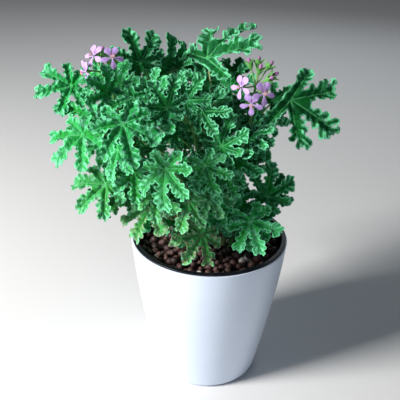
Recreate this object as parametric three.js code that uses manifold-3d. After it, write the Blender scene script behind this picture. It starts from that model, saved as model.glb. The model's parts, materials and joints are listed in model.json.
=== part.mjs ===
// Potted citronella geranium: a bush of leafy stems with deeply cut leaves and two small heads of
// lilac flowers. It grows in a black liner pot that hangs by its flange on a white cover pot.
// Millimetres, +Z up, origin at the middle of the foot, the side that is looked at faces -Y.

import * as THREE from 'three';
import { mergeVertices } from 'three/addons/utils/BufferGeometryUtils.js';
import Module from 'manifold-3d';

const wasm = await Module();
wasm.setup();

// Cover pot
const POT_HEIGHT = 138;
const RIM_RADIUS = 70;
const FOOT_RADIUS = 48.2;
const TAPER_POWER = 1.32;
const FOOT_ROUND = 6;
const POT_WALL = 2.4;
const POT_FLOOR = 3;
const POT_SIDES = 32;
const GAP = 0.3;

// Liner pot: its flange lies on the cover pot's lip
const FLANGE_THICK = 1.6;
const FLANGE_RADIUS = RIM_RADIUS - 1.1;
const LINER_WALL = 1.6;
const LINER_PLAY = 1.2;
const LINER_FLOOR_Z = 32;

// Soil: its top is a relief of rounded lumps
const SOIL_PLAY = 0.7;
const SOIL_INSET = POT_WALL + LINER_PLAY + LINER_WALL + SOIL_PLAY;
const SOIL_Z = 127;
const SOIL_DISH = 3;
const SOIL_RELIEF = 1.6;
const SOIL_RINGS = 7;

// Stems, leaf stalks and blades
const ROOT_DEPTH = 18;
const STEM_RADIUS = 2.3;
const TIP_RADIUS = 1.3;
const STEM_SIDES = 5;
const STEM_STEPS = 5;
const HOLE_PLAY = 0.5;
const STALK_RADIUS = 1.1;
const STALK_LENGTH = 32;
const BLADE_THICK = 0.8;
const CLEARANCE = 0.5;
const GOLDEN_ANGLE = 137.5;
const LEAST_DROOP = 0.2;
const MORE_DROOP = 0.14;
const LARGEST_ROLL = 30;

// Flowers
const PETAL_LENGTH = 9.5;
const PETAL_THICK = 0.7;
const FLOWER_STALK_RADIUS = 0.6;
const HEAD_STALK_RADIUS = 1.1;
const CUP_LENGTH = 3.2;
const CUP_RADIUS = 1.7;
const BUD_LENGTH = 8;

const UP = new THREE.Vector3(0, 0, 1);
const SUN = direction(-0.3, -0.8, 0.55);
const BUSH_MIDDLE = new THREE.Vector3(-15, 5, 195);
const FRONT = direction(-0.1, -0.85, 0.5);
const SLANT = direction(-0.2, -0.7, 0.7);
const LEFTWARD = direction(-0.6, -0.5, 0.6);
const RIGHTWARD = direction(0.5, -0.6, 0.6);
const SKYWARD = direction(-0.1, -0.4, 0.9);

// Each leafy stem: where it stands in the soil, where it ends, the leaves that are placed one by
// one, and how many more follow the spiral rule from the angle `turn` on.
const SHOOTS = [
  { name: 'left_low', root: [-12, -8], tip: [-58, -34, 198], more: 1, turn: 200, leaves: [
    leaf([-83, -52, 208], [-22, -14, -16], 30, LEFTWARD),
    leaf([-60, -58, 222], [2, -14, -20], 24, SKYWARD),
    leaf([-70, -30, 222], [-18, -10, 14], 26),
  ] },
  { name: 'left_mid', root: [-14, 2], tip: [-74, -24, 240], more: 1, turn: 160, leaves: [
    leaf([-100, -45, 246], [-20, -14, -16], 31, FRONT),
    leaf([-92, -28, 254], [-26, -2, 12], 28, SKYWARD),
    leaf([-67, -66, 264], [10, -16, -24], 32, FRONT),
    leaf([-72, -56, 239], [-6, -14, -20], 24),
  ] },
  { name: 'left_high', root: [-10, 8], tip: [-88, -4, 264], more: 1, turn: 20, leaves: [
    leaf([-115, -5, 273], [-28, -10, -4], 29, direction(0.2, -0.85, 0.4)),
    leaf([-84, -30, 276], [-10, -16, 16], 24, SLANT),
    leaf([-75, -14, 277], [8, -4, 20], 22, FRONT),
  ] },
  { name: 'top_left', root: [-4, 12], tip: [-54, 10, 270], more: 1, turn: 90, leaves: [
    leaf([-60, 0, 288], [-10, -4, 26], 29, FRONT),
    leaf([-42, 18, 284], [8, 2, 28], 27, RIGHTWARD),
    leaf([-67, -30, 272], [-8, -16, -12], 24),
    leaf([-51, -22, 272], [14, -6, 12], 24, FRONT),
  ] },
  { name: 'top_mid', root: [2, 16], tip: [-24, 38, 258], more: 2, turn: 60, leaves: [
    leaf([-25, 44, 276], [-2, 4, 24], 24, RIGHTWARD),
    leaf([-38, 26, 276], [4, -2, 20], 18, FRONT),
  ] },
  { name: 'top_right', root: [6, 8], tip: [-2, 8, 262], more: 1, turn: 100, leaves: [
    leaf([-6, 13, 292], [32, 18, 36], 46, direction(-0.62, -0.42, 0.6)),
    leaf([14, 4, 272], [20, -8, 12], 25, SKYWARD),
    leaf([-8, 6, 278], [-14, -4, 10], 22, FRONT),
  ] },
  { name: 'centre', root: [-2, 0], tip: [-18, -14, 250], more: 0, turn: 0, leaves: [
    leaf([7, -40, 238], [4, 6, 22], 27, SKYWARD),
    leaf([-22, -24, 270], [10, -4, 18], 24, FRONT),
    leaf([-38, -36, 259], [-10, -14, -8], 24),
    leaf([-9, -30, 263], [14, -10, 4], 24),
    leaf([-36, -44, 270], [-12, -4, 20], 25),
  ] },
  { name: 'right_high', root: [12, 0], tip: [32, -6, 246], more: 0, turn: 0, leaves: [
    leaf([62, -2, 265], [28, -14, -14], 42, direction(-0.3, -0.75, 0.6)),
    leaf([41, 10, 238], [-10, -10, -18], 24, RIGHTWARD),
  ] },
  { name: 'right_mid', root: [6, -8], tip: [16, -24, 228], more: 0, turn: 0, leaves: [
    leaf([28, -30, 241], [8, -14, 2], 22, SKYWARD),
    leaf([20, -26, 230], [16, -12, -6], 24),
    leaf([6, -48, 218], [-2, -14, -16], 23),
  ] },
  { name: 'right_low', root: [14, -8], tip: [36, -16, 172], more: 0, turn: 0, leaves: [
    leaf([47, -15, 184], [4, 6, 26], 30, FRONT),
    leaf([33, -40, 173], [10, -16, -18], 29, FRONT),
  ] },
  { name: 'front', root: [0, -14], tip: [-22, -42, 205], more: 0, turn: 0, leaves: [
    leaf([-35, -68, 230], [-2, -12, -20], 31, FRONT),
    leaf([-8, -50, 165], [-10, -18, -14], 27, FRONT),
    leaf([-18, -55, 197], [-6, -16, -18], 25, SKYWARD),
    leaf([-4, -54, 196], [6, -14, -14], 20),
    leaf([-6, -52, 227], [8, -12, -16], 25),
  ] },
  { name: 'front_left', root: [-8, -14], tip: [-38, -36, 178], more: 0, turn: 0, leaves: [
    leaf([-48, -50, 186], [-10, -18, -12], 28, FRONT),
    leaf([-37, -56, 196], [2, -16, -18], 24),
  ] },
  { name: 'back_left', root: [-10, 18], tip: [-62, 48, 226], more: 4, turn: 120, leaves: [] },
  { name: 'back', root: [4, 22], tip: [-8, 70, 236], more: 4, turn: 90, leaves: [] },
  { name: 'back_right', root: [14, 12], tip: [18, 50, 220], more: 4, turn: 95, leaves: [] },
];

// Each flower head: its stem, its middle, its open flowers (place of the cup, way it faces) and the
// tips of its buds.
const HEADS = [
  { name: 'left', shoot: 'left_high', middle: [-89, -17, 288],
    flowers: [
      flower([-79, -24, 301], [0.25, -0.75, 0.6]),
      flower([-93, -20, 301], [-0.5, -0.6, 0.5]),
      flower([-98, -28, 291], [-0.8, -0.55, -0.1]),
    ],
    buds: [[-88, -9, 305], [-80, -10, 298]] },
  { name: 'right', shoot: 'right_high', middle: [31, -22, 282],
    flowers: [
      flower([36, -38, 281], [0.3, -0.9, 0.3]),
      flower([28, -33, 271], [-0.1, -0.9, -0.1]),
      flower([20, -30, 283], [-0.65, -0.7, 0.25]),
    ],
    buds: [[25, -16, 301], [33, -13, 302], [43, -17, 300], [43, -28, 291]] },
];

// The blade's lobes: the angle of each from the leaf's tip, its length and whether it is toothed
const LOBES = [
  { angle: -92, length: 0.66, kind: 'plain' },
  { angle: -46, length: 0.88, kind: 'toothed' },
  { angle: 0, length: 1, kind: 'toothed' },
  { angle: 46, length: 0.88, kind: 'toothed' },
  { angle: 92, length: 0.66, kind: 'plain' },
];
// Half widths along a lobe, from its foot to its end: a shoulder, the cut between the teeth, a tooth
const LOBE_EDGES = {
  toothed: [[0.5, 0.14], [0.61, 0.075], [0.82, 0.18]],
  plain: [[0.74, 0.12]],
};
const CUT_RADIUS = 0.27;
const NOTCH = [[-0.02, -0.03], [-0.02, 0.03]];
const BLADE_MIDDLE = [0.05, 0];

// The two upper petals are the wider ones. Each petal's outline, along and across it
const PETALS = [
  { turn: -104, width: 3.7 },
  { turn: -27, width: 4.6 },
  { turn: 27, width: 4.6 },
  { turn: 104, width: 3.7 },
  { turn: 180, width: 3.7 },
];
const PETAL_EDGE = [[0.16, -0.12], [0.75, -0.5], [1, -0.2], [1, 0.2], [0.75, 0.5], [0.16, 0.12]];

function direction(x, y, z) {
  return new THREE.Vector3(x, y, z).normalize();
}

function leaf(at, ahead, size, face = null) {
  return { at: new THREE.Vector3(...at), ahead: direction(...ahead), size, face };
}

function flower(place, facing) {
  return { place: new THREE.Vector3(...place), facing: direction(...facing) };
}

// Repeatable random draws between 0 and 1
function draws(seed) {
  let state = seed >>> 0;
  return () => {
    state = (Math.imul(state, 1664525) + 1013904223) >>> 0;
    return state / 4294967296;
  };
}

// Solids

function solidOf(geometry) {
  const bare = geometry.clone();
  bare.deleteAttribute('normal');
  bare.deleteAttribute('uv');
  const joined = mergeVertices(bare, 1e-4);
  const corners = [];
  for (let i = 0; i < joined.index.count; i += 3) {
    const [a, b, c] = [0, 1, 2].map((k) => joined.index.getX(i + k));
    if (a !== b && b !== c && c !== a) corners.push(a, b, c);
  }
  return new wasm.Manifold(new wasm.Mesh({
    numProp: 3,
    vertProperties: new Float32Array(joined.attributes.position.array),
    triVerts: new Uint32Array(corners),
  }));
}

function geometryOf(solid) {
  const mesh = solid.getMesh();
  const geometry = new THREE.BufferGeometry();
  geometry.setAttribute('position', new THREE.BufferAttribute(new Float32Array(mesh.vertProperties), 3));
  geometry.setIndex(new THREE.BufferAttribute(new Uint32Array(mesh.triVerts), 1));
  return geometry;
}

function join(solids) {
  return solids.reduce((sum, next) => sum.add(next));
}

// The main body of a solid, without the crumbs that a cut leaves loose
function mainBody(solid) {
  return solid.decompose().reduce((big, next) => (next.volume() > big.volume() ? next : big));
}

// A round profile given as [radius, height] pairs, turned about +Z
function turned(profile, sides = POT_SIDES) {
  const points = profile.map(([radius, height]) => new THREE.Vector2(radius, height));
  return new THREE.LatheGeometry(points, sides).rotateX(Math.PI / 2);
}

// A tapering rod along a curve
function rod(curve, startRadius, endRadius, sides, steps) {
  const geometry = new THREE.CylinderGeometry(endRadius, startRadius, 1, sides, steps);
  const frames = curve.computeFrenetFrames(steps);
  const place = geometry.attributes.position;
  for (let i = 0; i < place.count; i++) {
    const along = place.getY(i) + 0.5;
    const step = Math.round(along * steps);
    const point = curve.getPointAt(along)
      .addScaledVector(frames.normals[step], place.getX(i))
      .addScaledVector(frames.binormals[step], -place.getZ(i));
    place.setXYZ(i, point.x, point.y, point.z);
  }
  return geometry;
}

// A thin plate of even thickness with the same triangles on both faces. `edge` goes round the
// outline, `inner` holds the points inside it, and `heightAt` bends the plate out of its plane.
function plate(edge, inner, faces, heightAt, thickness) {
  const points = edge.concat(inner);
  const count = points.length;
  const positions = [];
  for (const side of [0.5, -0.5]) {
    for (const [x, y] of points) positions.push(x, y, heightAt(x, y) + side * thickness);
  }
  const corners = [];
  for (const [a, b, c] of faces) corners.push(a, b, c, a + count, c + count, b + count);
  edge.forEach((_, a) => {
    const b = (a + 1) % edge.length;
    corners.push(a, a + count, b, b, a + count, b + count);
  });
  const geometry = new THREE.BufferGeometry();
  geometry.setAttribute('position', new THREE.Float32BufferAttribute(positions, 3));
  geometry.setIndex(corners);
  return geometry;
}

// The turn that lays x along `ahead` and z as near to `face` as it can be
function layAlong(ahead, face, at) {
  const side = face.clone().cross(ahead).normalize();
  const normal = ahead.clone().cross(side);
  return new THREE.Matrix4().makeBasis(ahead, side, normal).setPosition(at);
}

// Pots and soil

function potRadius(height) {
  const up = height / POT_HEIGHT;
  return FOOT_RADIUS + (RIM_RADIUS - FOOT_RADIUS) * (1 - (1 - up) ** TAPER_POWER);
}

function wallPoints(heights, inset) {
  return heights.map((height) => [potRadius(height) - inset, height]);
}

function outerPot() {
  const lip = POT_HEIGHT - FLANGE_THICK;
  const round = [20, 45, 70].map((degrees) => {
    const angle = THREE.MathUtils.degToRad(degrees);
    return [potRadius(FOOT_ROUND) - FOOT_ROUND * (1 - Math.sin(angle)), FOOT_ROUND * (1 - Math.cos(angle))];
  });
  return turned([
    [0, 0],
    [potRadius(FOOT_ROUND) - FOOT_ROUND, 0],
    ...round,
    ...wallPoints([FOOT_ROUND, 34, 64, 94, 118, lip], 0),
    ...wallPoints([lip, 94, 50, 12], POT_WALL),
    [potRadius(12) - POT_WALL - 6, POT_FLOOR],
    [0, POT_FLOOR],
  ]);
}

function innerPot() {
  const top = POT_HEIGHT;
  const under = POT_HEIGHT - FLANGE_THICK;
  const outside = POT_WALL + LINER_PLAY;
  const inside = outside + LINER_WALL;
  return turned([
    [0, LINER_FLOOR_Z],
    ...wallPoints([LINER_FLOOR_Z, 70, 105, under], outside),
    [FLANGE_RADIUS, under],
    [FLANGE_RADIUS, top - 0.5],
    [FLANGE_RADIUS - 0.5, top],
    ...wallPoints([top, 105, 70, LINER_FLOOR_Z + LINER_WALL], inside),
    [0, LINER_FLOOR_Z + LINER_WALL],
  ]);
}

function soilHeight(radius) {
  const spread = radius / RIM_RADIUS;
  return SOIL_Z + SOIL_DISH * (1 - spread * spread);
}

function soilBody() {
  const floor = LINER_FLOOR_Z + LINER_WALL + GAP;
  const edge = potRadius(SOIL_Z) - SOIL_INSET;
  const rings = [];
  for (let ring = SOIL_RINGS; ring > 0; ring--) {
    const radius = (edge - 1.5) * ring / SOIL_RINGS;
    rings.push([radius, soilHeight(radius)]);
  }
  const geometry = turned([
    [0, floor],
    ...wallPoints([floor, 70, 105, SOIL_Z - 1], SOIL_INSET),
    ...rings,
    [0, soilHeight(0)],
  ]);
  const bare = geometry.clone();
  bare.deleteAttribute('normal');
  bare.deleteAttribute('uv');
  const joined = mergeVertices(bare, 1e-4);
  const place = joined.attributes.position;
  const random = draws(11);
  for (let i = 0; i < place.count; i++) {
    const onTop = place.getZ(i) > SOIL_Z - 0.5;
    if (onTop) place.setZ(i, place.getZ(i) + SOIL_RELIEF * (2 * random() - 1));
  }
  return joined;
}

function growingMedium(stemCurves) {
  let soil = solidOf(soilBody());
  for (const curve of stemCurves) soil = soil.subtract(solidOf(stemHole(curve)));
  return geometryOf(mainBody(soil));
}

// Stems

function stemCurve({ root, tip }) {
  const foot = new THREE.Vector3(root[0], root[1], SOIL_Z - ROOT_DEPTH);
  const end = new THREE.Vector3(...tip);
  const bend = new THREE.Vector3(
    THREE.MathUtils.lerp(foot.x, end.x, 0.3),
    THREE.MathUtils.lerp(foot.y, end.y, 0.3),
    THREE.MathUtils.lerp(foot.z, end.z, 0.62),
  );
  return new THREE.QuadraticBezierCurve3(foot, bend, end);
}

// The plain hole round the buried end of a stem
function stemHole(curve) {
  const down = curve.getTangentAt(0).multiplyScalar(-GAP);
  const hole = rod(curve, STEM_RADIUS + HOLE_PLAY, STEM_RADIUS + HOLE_PLAY, STEM_SIDES, STEM_STEPS);
  return hole.translate(down.x, down.y, down.z);
}

// Leaves

function lobePoint({ angle }, along, across) {
  const turn = THREE.MathUtils.degToRad(angle);
  return [
    along * Math.cos(turn) - across * Math.sin(turn),
    along * Math.sin(turn) + across * Math.cos(turn),
  ];
}

function lobeEdge(lobe) {
  const half = LOBE_EDGES[lobe.kind];
  const near = half.map(([along, across]) => lobePoint(lobe, along * lobe.length, -across));
  const far = half.map(([along, across]) => lobePoint(lobe, along * lobe.length, across));
  return [...near, lobePoint(lobe, lobe.length, 0), ...far.reverse()];
}

function cutBetween(lobe, next) {
  const radius = CUT_RADIUS * Math.min(1, (lobe.length + next.length) / 1.8);
  return lobePoint({ angle: (lobe.angle + next.angle) / 2 }, radius, 0);
}

// The outline of a blade one unit long, with a fan of triangles round the middle of each lobe
function bladePattern() {
  const edge = [NOTCH[0]];
  const spans = [];
  LOBES.forEach((lobe, i) => {
    const start = edge.length - 1;
    edge.push(...lobeEdge(lobe));
    edge.push(i < LOBES.length - 1 ? cutBetween(lobe, LOBES[i + 1]) : NOTCH[1]);
    spans.push([start, edge.length - 1]);
  });
  const middle = edge.length;
  const inner = [BLADE_MIDDLE];
  const faces = [[middle, edge.length - 1, 0]];
  spans.forEach(([start, end], i) => {
    const hasHeart = LOBES[i].kind === 'toothed';
    const heart = hasHeart ? middle + inner.length : middle;
    for (let a = start; a < end; a++) faces.push([heart, a, a + 1]);
    if (!hasHeart) return;
    inner.push(lobePoint(LOBES[i], 0.5 * LOBES[i].length, 0));
    faces.push([heart, end, middle], [heart, middle, start]);
  });
  return { edge, inner, faces };
}

const BLADE = bladePattern();

// A blade rises a little from its stalk, droops towards its ends and is folded along each lobe
function bladeHeight(x, y, droop) {
  const reach = Math.hypot(x, y);
  const nearest = Math.min(...LOBES.map(({ angle }) => {
    const turn = THREE.MathUtils.degToRad(angle);
    const along = x * Math.cos(turn) + y * Math.sin(turn);
    return along > 0 ? Math.abs(-x * Math.sin(turn) + y * Math.cos(turn)) : 1;
  }));
  return 0.12 * reach - droop * reach * reach + 0.22 * Math.min(nearest, 0.22);
}

function blade({ at, ahead, face, size, droop }, thickness, spread = 1) {
  const grow = ([x, y]) => [x * size * spread, y * size * spread];
  const heightAt = (x, y) => size * bladeHeight(x / size / spread, y / size / spread, droop);
  const geometry = plate(BLADE.edge.map(grow), BLADE.inner.map(grow), BLADE.faces, heightAt, thickness);
  return solidOf(geometry.applyMatrix4(layAlong(ahead, face, at)));
}

// The leaf stalk leaves the stem, rises and ends in the notch of its blade
function stalk({ at, joint }, radius) {
  const bend = joint.clone().lerp(at, 0.55).addScaledVector(UP, 0.14 * joint.distanceTo(at));
  const curve = new THREE.QuadraticBezierCurve3(joint, bend, at);
  return solidOf(rod(curve, radius, radius * 0.55, 3, 2));
}

// The place on the stem from which a stalk of the usual length reaches a leaf
function jointFor(at, curve) {
  let best = null;
  for (let along = 0.35; along < 0.96; along += 0.05) {
    const point = curve.getPoint(along);
    const misfit = Math.abs(point.distanceTo(at) - STALK_LENGTH) + 14 * (1 - along);
    if (!best || misfit < best.misfit) best = { point, misfit };
  }
  return best.point;
}

function placedLeaf(item, curve) {
  const outward = item.at.clone().sub(BUSH_MIDDLE).normalize();
  const face = item.face ?? SUN.clone().multiplyScalar(0.5)
    .addScaledVector(outward, 0.5).addScaledVector(UP, 0.4).normalize();
  return { ...item, face, joint: jointFor(item.at, curve) };
}

function spiralLeaf(shoot, curve, index) {
  const along = 0.45 + 0.55 * (index + 0.5) / shoot.more;
  const joint = curve.getPoint(along);
  const angle = THREE.MathUtils.degToRad(shoot.turn + GOLDEN_ANGLE * index);
  const rise = curve.v2.clone().sub(curve.v1).normalize().multiplyScalar(0.35);
  const reach = new THREE.Vector3(Math.cos(angle), Math.sin(angle), 0.45).add(rise);
  const at = joint.clone().addScaledVector(reach, 34 - 8 * along);
  const outward = at.clone().sub(BUSH_MIDDLE).normalize();
  const inFront = at.y < 30;
  const face = SUN.clone().multiplyScalar(inFront ? 0.75 : 0.15)
    .addScaledVector(outward, 0.6).addScaledVector(UP, inFront ? 0.2 : 0.5).normalize();
  const ahead = outward.clone().addScaledVector(reach, 0.5).addScaledVector(UP, -0.35).normalize();
  return { at, ahead, size: 32 - 4 * along, face, joint };
}

function leafPlan(shoot, curve) {
  const plan = shoot.leaves.map((item) => placedLeaf(item, curve));
  for (let index = 0; index < shoot.more; index++) plan.push(spiralLeaf(shoot, curve, index));
  return plan;
}

// A leaf's face is turned a little about its own axis, so that no two look exactly the same way
function rolled(item, share) {
  const roll = THREE.MathUtils.degToRad(LARGEST_ROLL * (2 * share - 1));
  return { ...item, face: item.face.clone().applyAxisAngle(item.ahead, roll) };
}

// The small bends that a leaf may take to clear its neighbours, the slightest first
function bends() {
  const list = [];
  for (const shrink of [1, 0.88, 0.76]) {
    for (let step = 0; step <= 5; step++) {
      const ways = step ? 8 : 1;
      for (let way = 0; way < ways; way++) {
        const turn = way * Math.PI / 4;
        list.push({ shrink, swing: 6 * step * Math.cos(turn), lift: 4 * step * Math.sin(turn) });
      }
    }
  }
  return list;
}

const BENDS = bends();

function bent(item, { shrink, swing, lift }) {
  const turn = THREE.MathUtils.degToRad(swing);
  const at = item.at.clone().sub(item.joint).applyAxisAngle(UP, turn).add(item.joint);
  at.z += lift;
  return {
    ...item,
    at,
    ahead: item.ahead.clone().applyAxisAngle(UP, turn),
    face: item.face.clone().applyAxisAngle(UP, turn),
    size: item.size * shrink,
  };
}

// Clear of its neighbours

const standing = [];

function stand(owner, solid) {
  standing.push({ owner, solid, box: solid.boundingBox() });
}

function apart(a, b) {
  return [0, 1, 2].some((axis) => a.max[axis] < b.min[axis] || b.max[axis] < a.min[axis]);
}

function isClear(solid, skipped = null) {
  const box = solid.boundingBox();
  return standing.every((other) => other.owner === skipped
    || apart(box, other.box)
    || solid.intersect(other.solid).isEmpty());
}

function settled(item, owner) {
  for (const bend of BENDS) {
    const tried = bent(item, bend);
    const wide = blade(tried, BLADE_THICK + 2 * CLEARANCE, 1.03);
    if (isClear(wide) && isClear(stalk(tried, STALK_RADIUS + CLEARANCE), owner)) return tried;
  }
  return null;
}

// Flowers

// Five petals in one thin plate round the flower's throat
function corollaPattern() {
  const edge = [];
  const inner = [[0, 0]];
  const faces = [];
  const middle = PETALS.length * PETAL_EDGE.length;
  PETALS.forEach(({ turn, width }, i) => {
    const start = edge.length;
    for (const [along, across] of PETAL_EDGE) edge.push(lobePoint({ angle: turn }, along * PETAL_LENGTH, across * width));
    inner.push(lobePoint({ angle: turn }, 0.45 * PETAL_LENGTH, 0));
    const heart = middle + 1 + i;
    const next = (start + PETAL_EDGE.length) % middle;
    for (let a = start; a < start + PETAL_EDGE.length - 1; a++) faces.push([heart, a, a + 1]);
    faces.push([heart, next - 1 < 0 ? middle - 1 : next - 1, middle], [heart, middle, start]);
    faces.push([middle, start + PETAL_EDGE.length - 1, next]);
  });
  return { edge, inner, faces };
}

const CORONA = corollaPattern();

// A petal rises from the throat at first and then spreads
function petalHeight(x, y) {
  const along = Math.hypot(x, y) / PETAL_LENGTH;
  return 2.6 * along - 2.4 * along * along;
}

function corolla({ place, facing }) {
  const { edge, inner, faces } = CORONA;
  const petals = plate(edge, inner, faces, petalHeight, PETAL_THICK);
  petals.translate(0, 0, GAP + PETAL_THICK / 2);
  const upward = UP.clone().addScaledVector(facing, -UP.dot(facing)).normalize();
  return solidOf(petals.applyMatrix4(layAlong(upward, facing, place)));
}

// The green cup under a flower, at the end of its own stalk
function flowerStalk(middle, { place, facing }) {
  const foot = place.clone().addScaledVector(facing, -CUP_LENGTH);
  const bend = foot.clone().lerp(middle, 0.4).addScaledVector(facing, -1.5);
  const curve = new THREE.QuadraticBezierCurve3(middle, bend, foot.clone().addScaledVector(facing, 0.4));
  const cup = rod(new THREE.LineCurve3(foot, place), 0.9, CUP_RADIUS, 5, 1);
  return join([solidOf(rod(curve, FLOWER_STALK_RADIUS, FLOWER_STALK_RADIUS, 3, 2)), solidOf(cup)]);
}

function bud(middle, tip) {
  const end = new THREE.Vector3(...tip);
  const along = end.clone().sub(middle).normalize();
  const foot = end.clone().addScaledVector(along, -BUD_LENGTH);
  const body = turned([[0, 0], [1.7, 2.4], [1.3, 6], [0, BUD_LENGTH]], 5);
  body.applyQuaternion(new THREE.Quaternion().setFromUnitVectors(UP, along)).translate(foot.x, foot.y, foot.z);
  const line = new THREE.LineCurve3(middle, foot.clone().addScaledVector(along, 0.6));
  return join([solidOf(rod(line, FLOWER_STALK_RADIUS, FLOWER_STALK_RADIUS, 3, 1)), solidOf(body)]);
}

function headGreens(head, curve) {
  const middle = new THREE.Vector3(...head.middle);
  const start = curve.getPoint(0.9);
  const bend = start.clone().lerp(middle, 0.5).addScaledVector(UP, 6);
  const headStalk = new THREE.QuadraticBezierCurve3(start, bend, middle);
  const parts = [solidOf(rod(headStalk, HEAD_STALK_RADIUS, HEAD_STALK_RADIUS, 4, 4))];
  parts.push(solidOf(new THREE.IcosahedronGeometry(1.9, 0).translate(middle.x, middle.y, middle.z)));
  for (const open of head.flowers) parts.push(flowerStalk(middle, open));
  for (const tip of head.buds) parts.push(bud(middle, tip));
  return join(parts);
}

// The whole plant

const MATERIALS = {
  potWhite: { color: 0xf1f2f4, roughness: 0.28 },
  linerBlack: { color: 0x14161c, roughness: 0.45 },
  soil: { color: 0x3a2620, roughness: 0.95 },
  foliage: { color: 0x4c9b5e, roughness: 0.75 },
  petal: { color: 0xd6b4e6, roughness: 0.65 },
};

function addMesh(group, name, geometry, finish) {
  const material = new THREE.MeshStandardMaterial({ metalness: 0, ...MATERIALS[finish] });
  const mesh = new THREE.Mesh(geometry, material);
  mesh.name = name;
  group.add(mesh);
}

function stemWithFlowers(shoot, curve) {
  const parts = [solidOf(rod(curve, STEM_RADIUS, TIP_RADIUS, STEM_SIDES, STEM_STEPS))];
  for (const head of HEADS) if (head.shoot === shoot.name) parts.push(headGreens(head, curve));
  return join(parts);
}

const plant = new THREE.Group();
addMesh(plant, 'outer_pot', outerPot(), 'potWhite');
addMesh(plant, 'inner_pot', innerPot(), 'linerBlack');

const curves = SHOOTS.map(stemCurve);
addMesh(plant, 'growing_medium', growingMedium(curves), 'soil');
for (const mesh of plant.children) stand(mesh.name, solidOf(mesh.geometry));

const greens = SHOOTS.map((shoot, i) => stemWithFlowers(shoot, curves[i]));
greens.forEach((solid, i) => stand(SHOOTS[i].name, solid));
for (const head of HEADS) {
  head.flowers.forEach((open, i) => {
    const petals = corolla(open);
    stand('flowers', petals);
    addMesh(plant, `corolla_${head.name}_${i + 1}`, geometryOf(petals), 'petal');
  });
}

let serial = 0;
SHOOTS.forEach((shoot, i) => {
  for (const item of leafPlan(shoot, curves[i])) {
    serial += 1;
    const random = draws(serial * 7919);
    random();
    const droop = LEAST_DROOP + MORE_DROOP * random();
    const fitted = settled({ ...rolled(item, random()), droop }, shoot.name);
    if (!fitted) continue;
    const green = join([blade(fitted, BLADE_THICK), stalk(fitted, STALK_RADIUS)]);
    stand(shoot.name, green);
    greens[i] = greens[i].add(green);
  }
  addMesh(plant, `stem_${shoot.name}`, geometryOf(greens[i]), 'foliage');
});

export default plant;
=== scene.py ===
# %% [markdown]
# # A potted citronella geranium
#
# This lesson dresses a measured plant. The frame holds plain, closed solids for the two pots, the soil,
# fifteen leafy stems and six lilac flowers, each at its true size and place. Here each of them gets a
# fine stand-in that keeps its form: deeply cut leaves with veins and hairs, tapering stalks, round clay
# granules on the soil, and satin pots. Everything is in metres, in the frame's own axes.

# %% Load the measured frame
import json
import math

import bpy
import numpy as np
from mathutils import Matrix, Vector, kdtree, noise

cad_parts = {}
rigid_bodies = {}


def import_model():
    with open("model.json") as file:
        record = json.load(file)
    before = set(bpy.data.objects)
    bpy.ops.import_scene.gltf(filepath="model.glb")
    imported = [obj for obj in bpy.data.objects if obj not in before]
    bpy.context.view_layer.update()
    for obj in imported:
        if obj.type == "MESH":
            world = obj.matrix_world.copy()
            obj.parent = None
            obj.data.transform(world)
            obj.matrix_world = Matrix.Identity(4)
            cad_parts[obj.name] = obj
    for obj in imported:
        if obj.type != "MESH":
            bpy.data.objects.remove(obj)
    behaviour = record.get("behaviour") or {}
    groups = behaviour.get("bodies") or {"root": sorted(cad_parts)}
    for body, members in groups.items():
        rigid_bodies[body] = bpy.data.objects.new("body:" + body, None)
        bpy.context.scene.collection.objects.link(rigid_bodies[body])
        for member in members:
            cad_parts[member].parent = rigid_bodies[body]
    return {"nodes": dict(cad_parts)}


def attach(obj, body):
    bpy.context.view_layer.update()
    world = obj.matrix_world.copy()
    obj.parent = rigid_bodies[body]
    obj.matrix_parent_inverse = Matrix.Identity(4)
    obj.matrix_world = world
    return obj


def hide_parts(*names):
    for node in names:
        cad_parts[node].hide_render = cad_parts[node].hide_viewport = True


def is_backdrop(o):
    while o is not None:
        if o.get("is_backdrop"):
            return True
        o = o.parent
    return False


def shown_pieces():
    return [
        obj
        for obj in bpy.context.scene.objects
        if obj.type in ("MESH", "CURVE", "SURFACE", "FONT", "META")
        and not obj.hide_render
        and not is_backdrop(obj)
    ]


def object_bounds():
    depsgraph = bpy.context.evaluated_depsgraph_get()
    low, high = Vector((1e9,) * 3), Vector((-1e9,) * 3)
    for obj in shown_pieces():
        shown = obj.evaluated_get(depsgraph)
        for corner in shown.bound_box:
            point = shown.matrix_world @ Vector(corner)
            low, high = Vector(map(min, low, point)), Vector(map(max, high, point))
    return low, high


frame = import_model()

cad_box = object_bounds()
print("frame box in metres:", [tuple(round(value, 4) for value in corner) for corner in cad_box])

# %% [markdown]
# ## Small tools for places and directions
#
# The plant is planned in millimetres, because its real sizes are easy to read that way, and every mesh
# is scaled to metres when it is made. Stems and stalks could be drawn by hand as curves, but a start, a
# bend and an end say enough for each of them. Draws that can be repeated keep each run the same.

# %% Places and directions
MM = 0.001
UP = np.array((0.0, 0.0, 1.0))


def unit(vector):
    vector = np.asarray(vector, float)
    return vector / np.linalg.norm(vector)


def turned_about(axis, vector, degrees):
    angle = math.radians(degrees)
    vector = np.asarray(vector, float)
    return (vector * math.cos(angle) + np.cross(axis, vector) * math.sin(angle)
            + axis * axis.dot(vector) * (1 - math.cos(angle)))


print("x turned a quarter about the upright axis:", turned_about(UP, (1, 0, 0), 90).round(3))

# %% Draws, curves and new objects
DRAW_FACTOR, DRAW_STEP, DRAW_RANGE = 1664525, 1013904223, 2 ** 32


def draws(seed):
    """Repeatable random numbers between 0 and 1."""
    state = seed % DRAW_RANGE
    while True:
        state = (state * DRAW_FACTOR + DRAW_STEP) % DRAW_RANGE
        yield state / DRAW_RANGE


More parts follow.
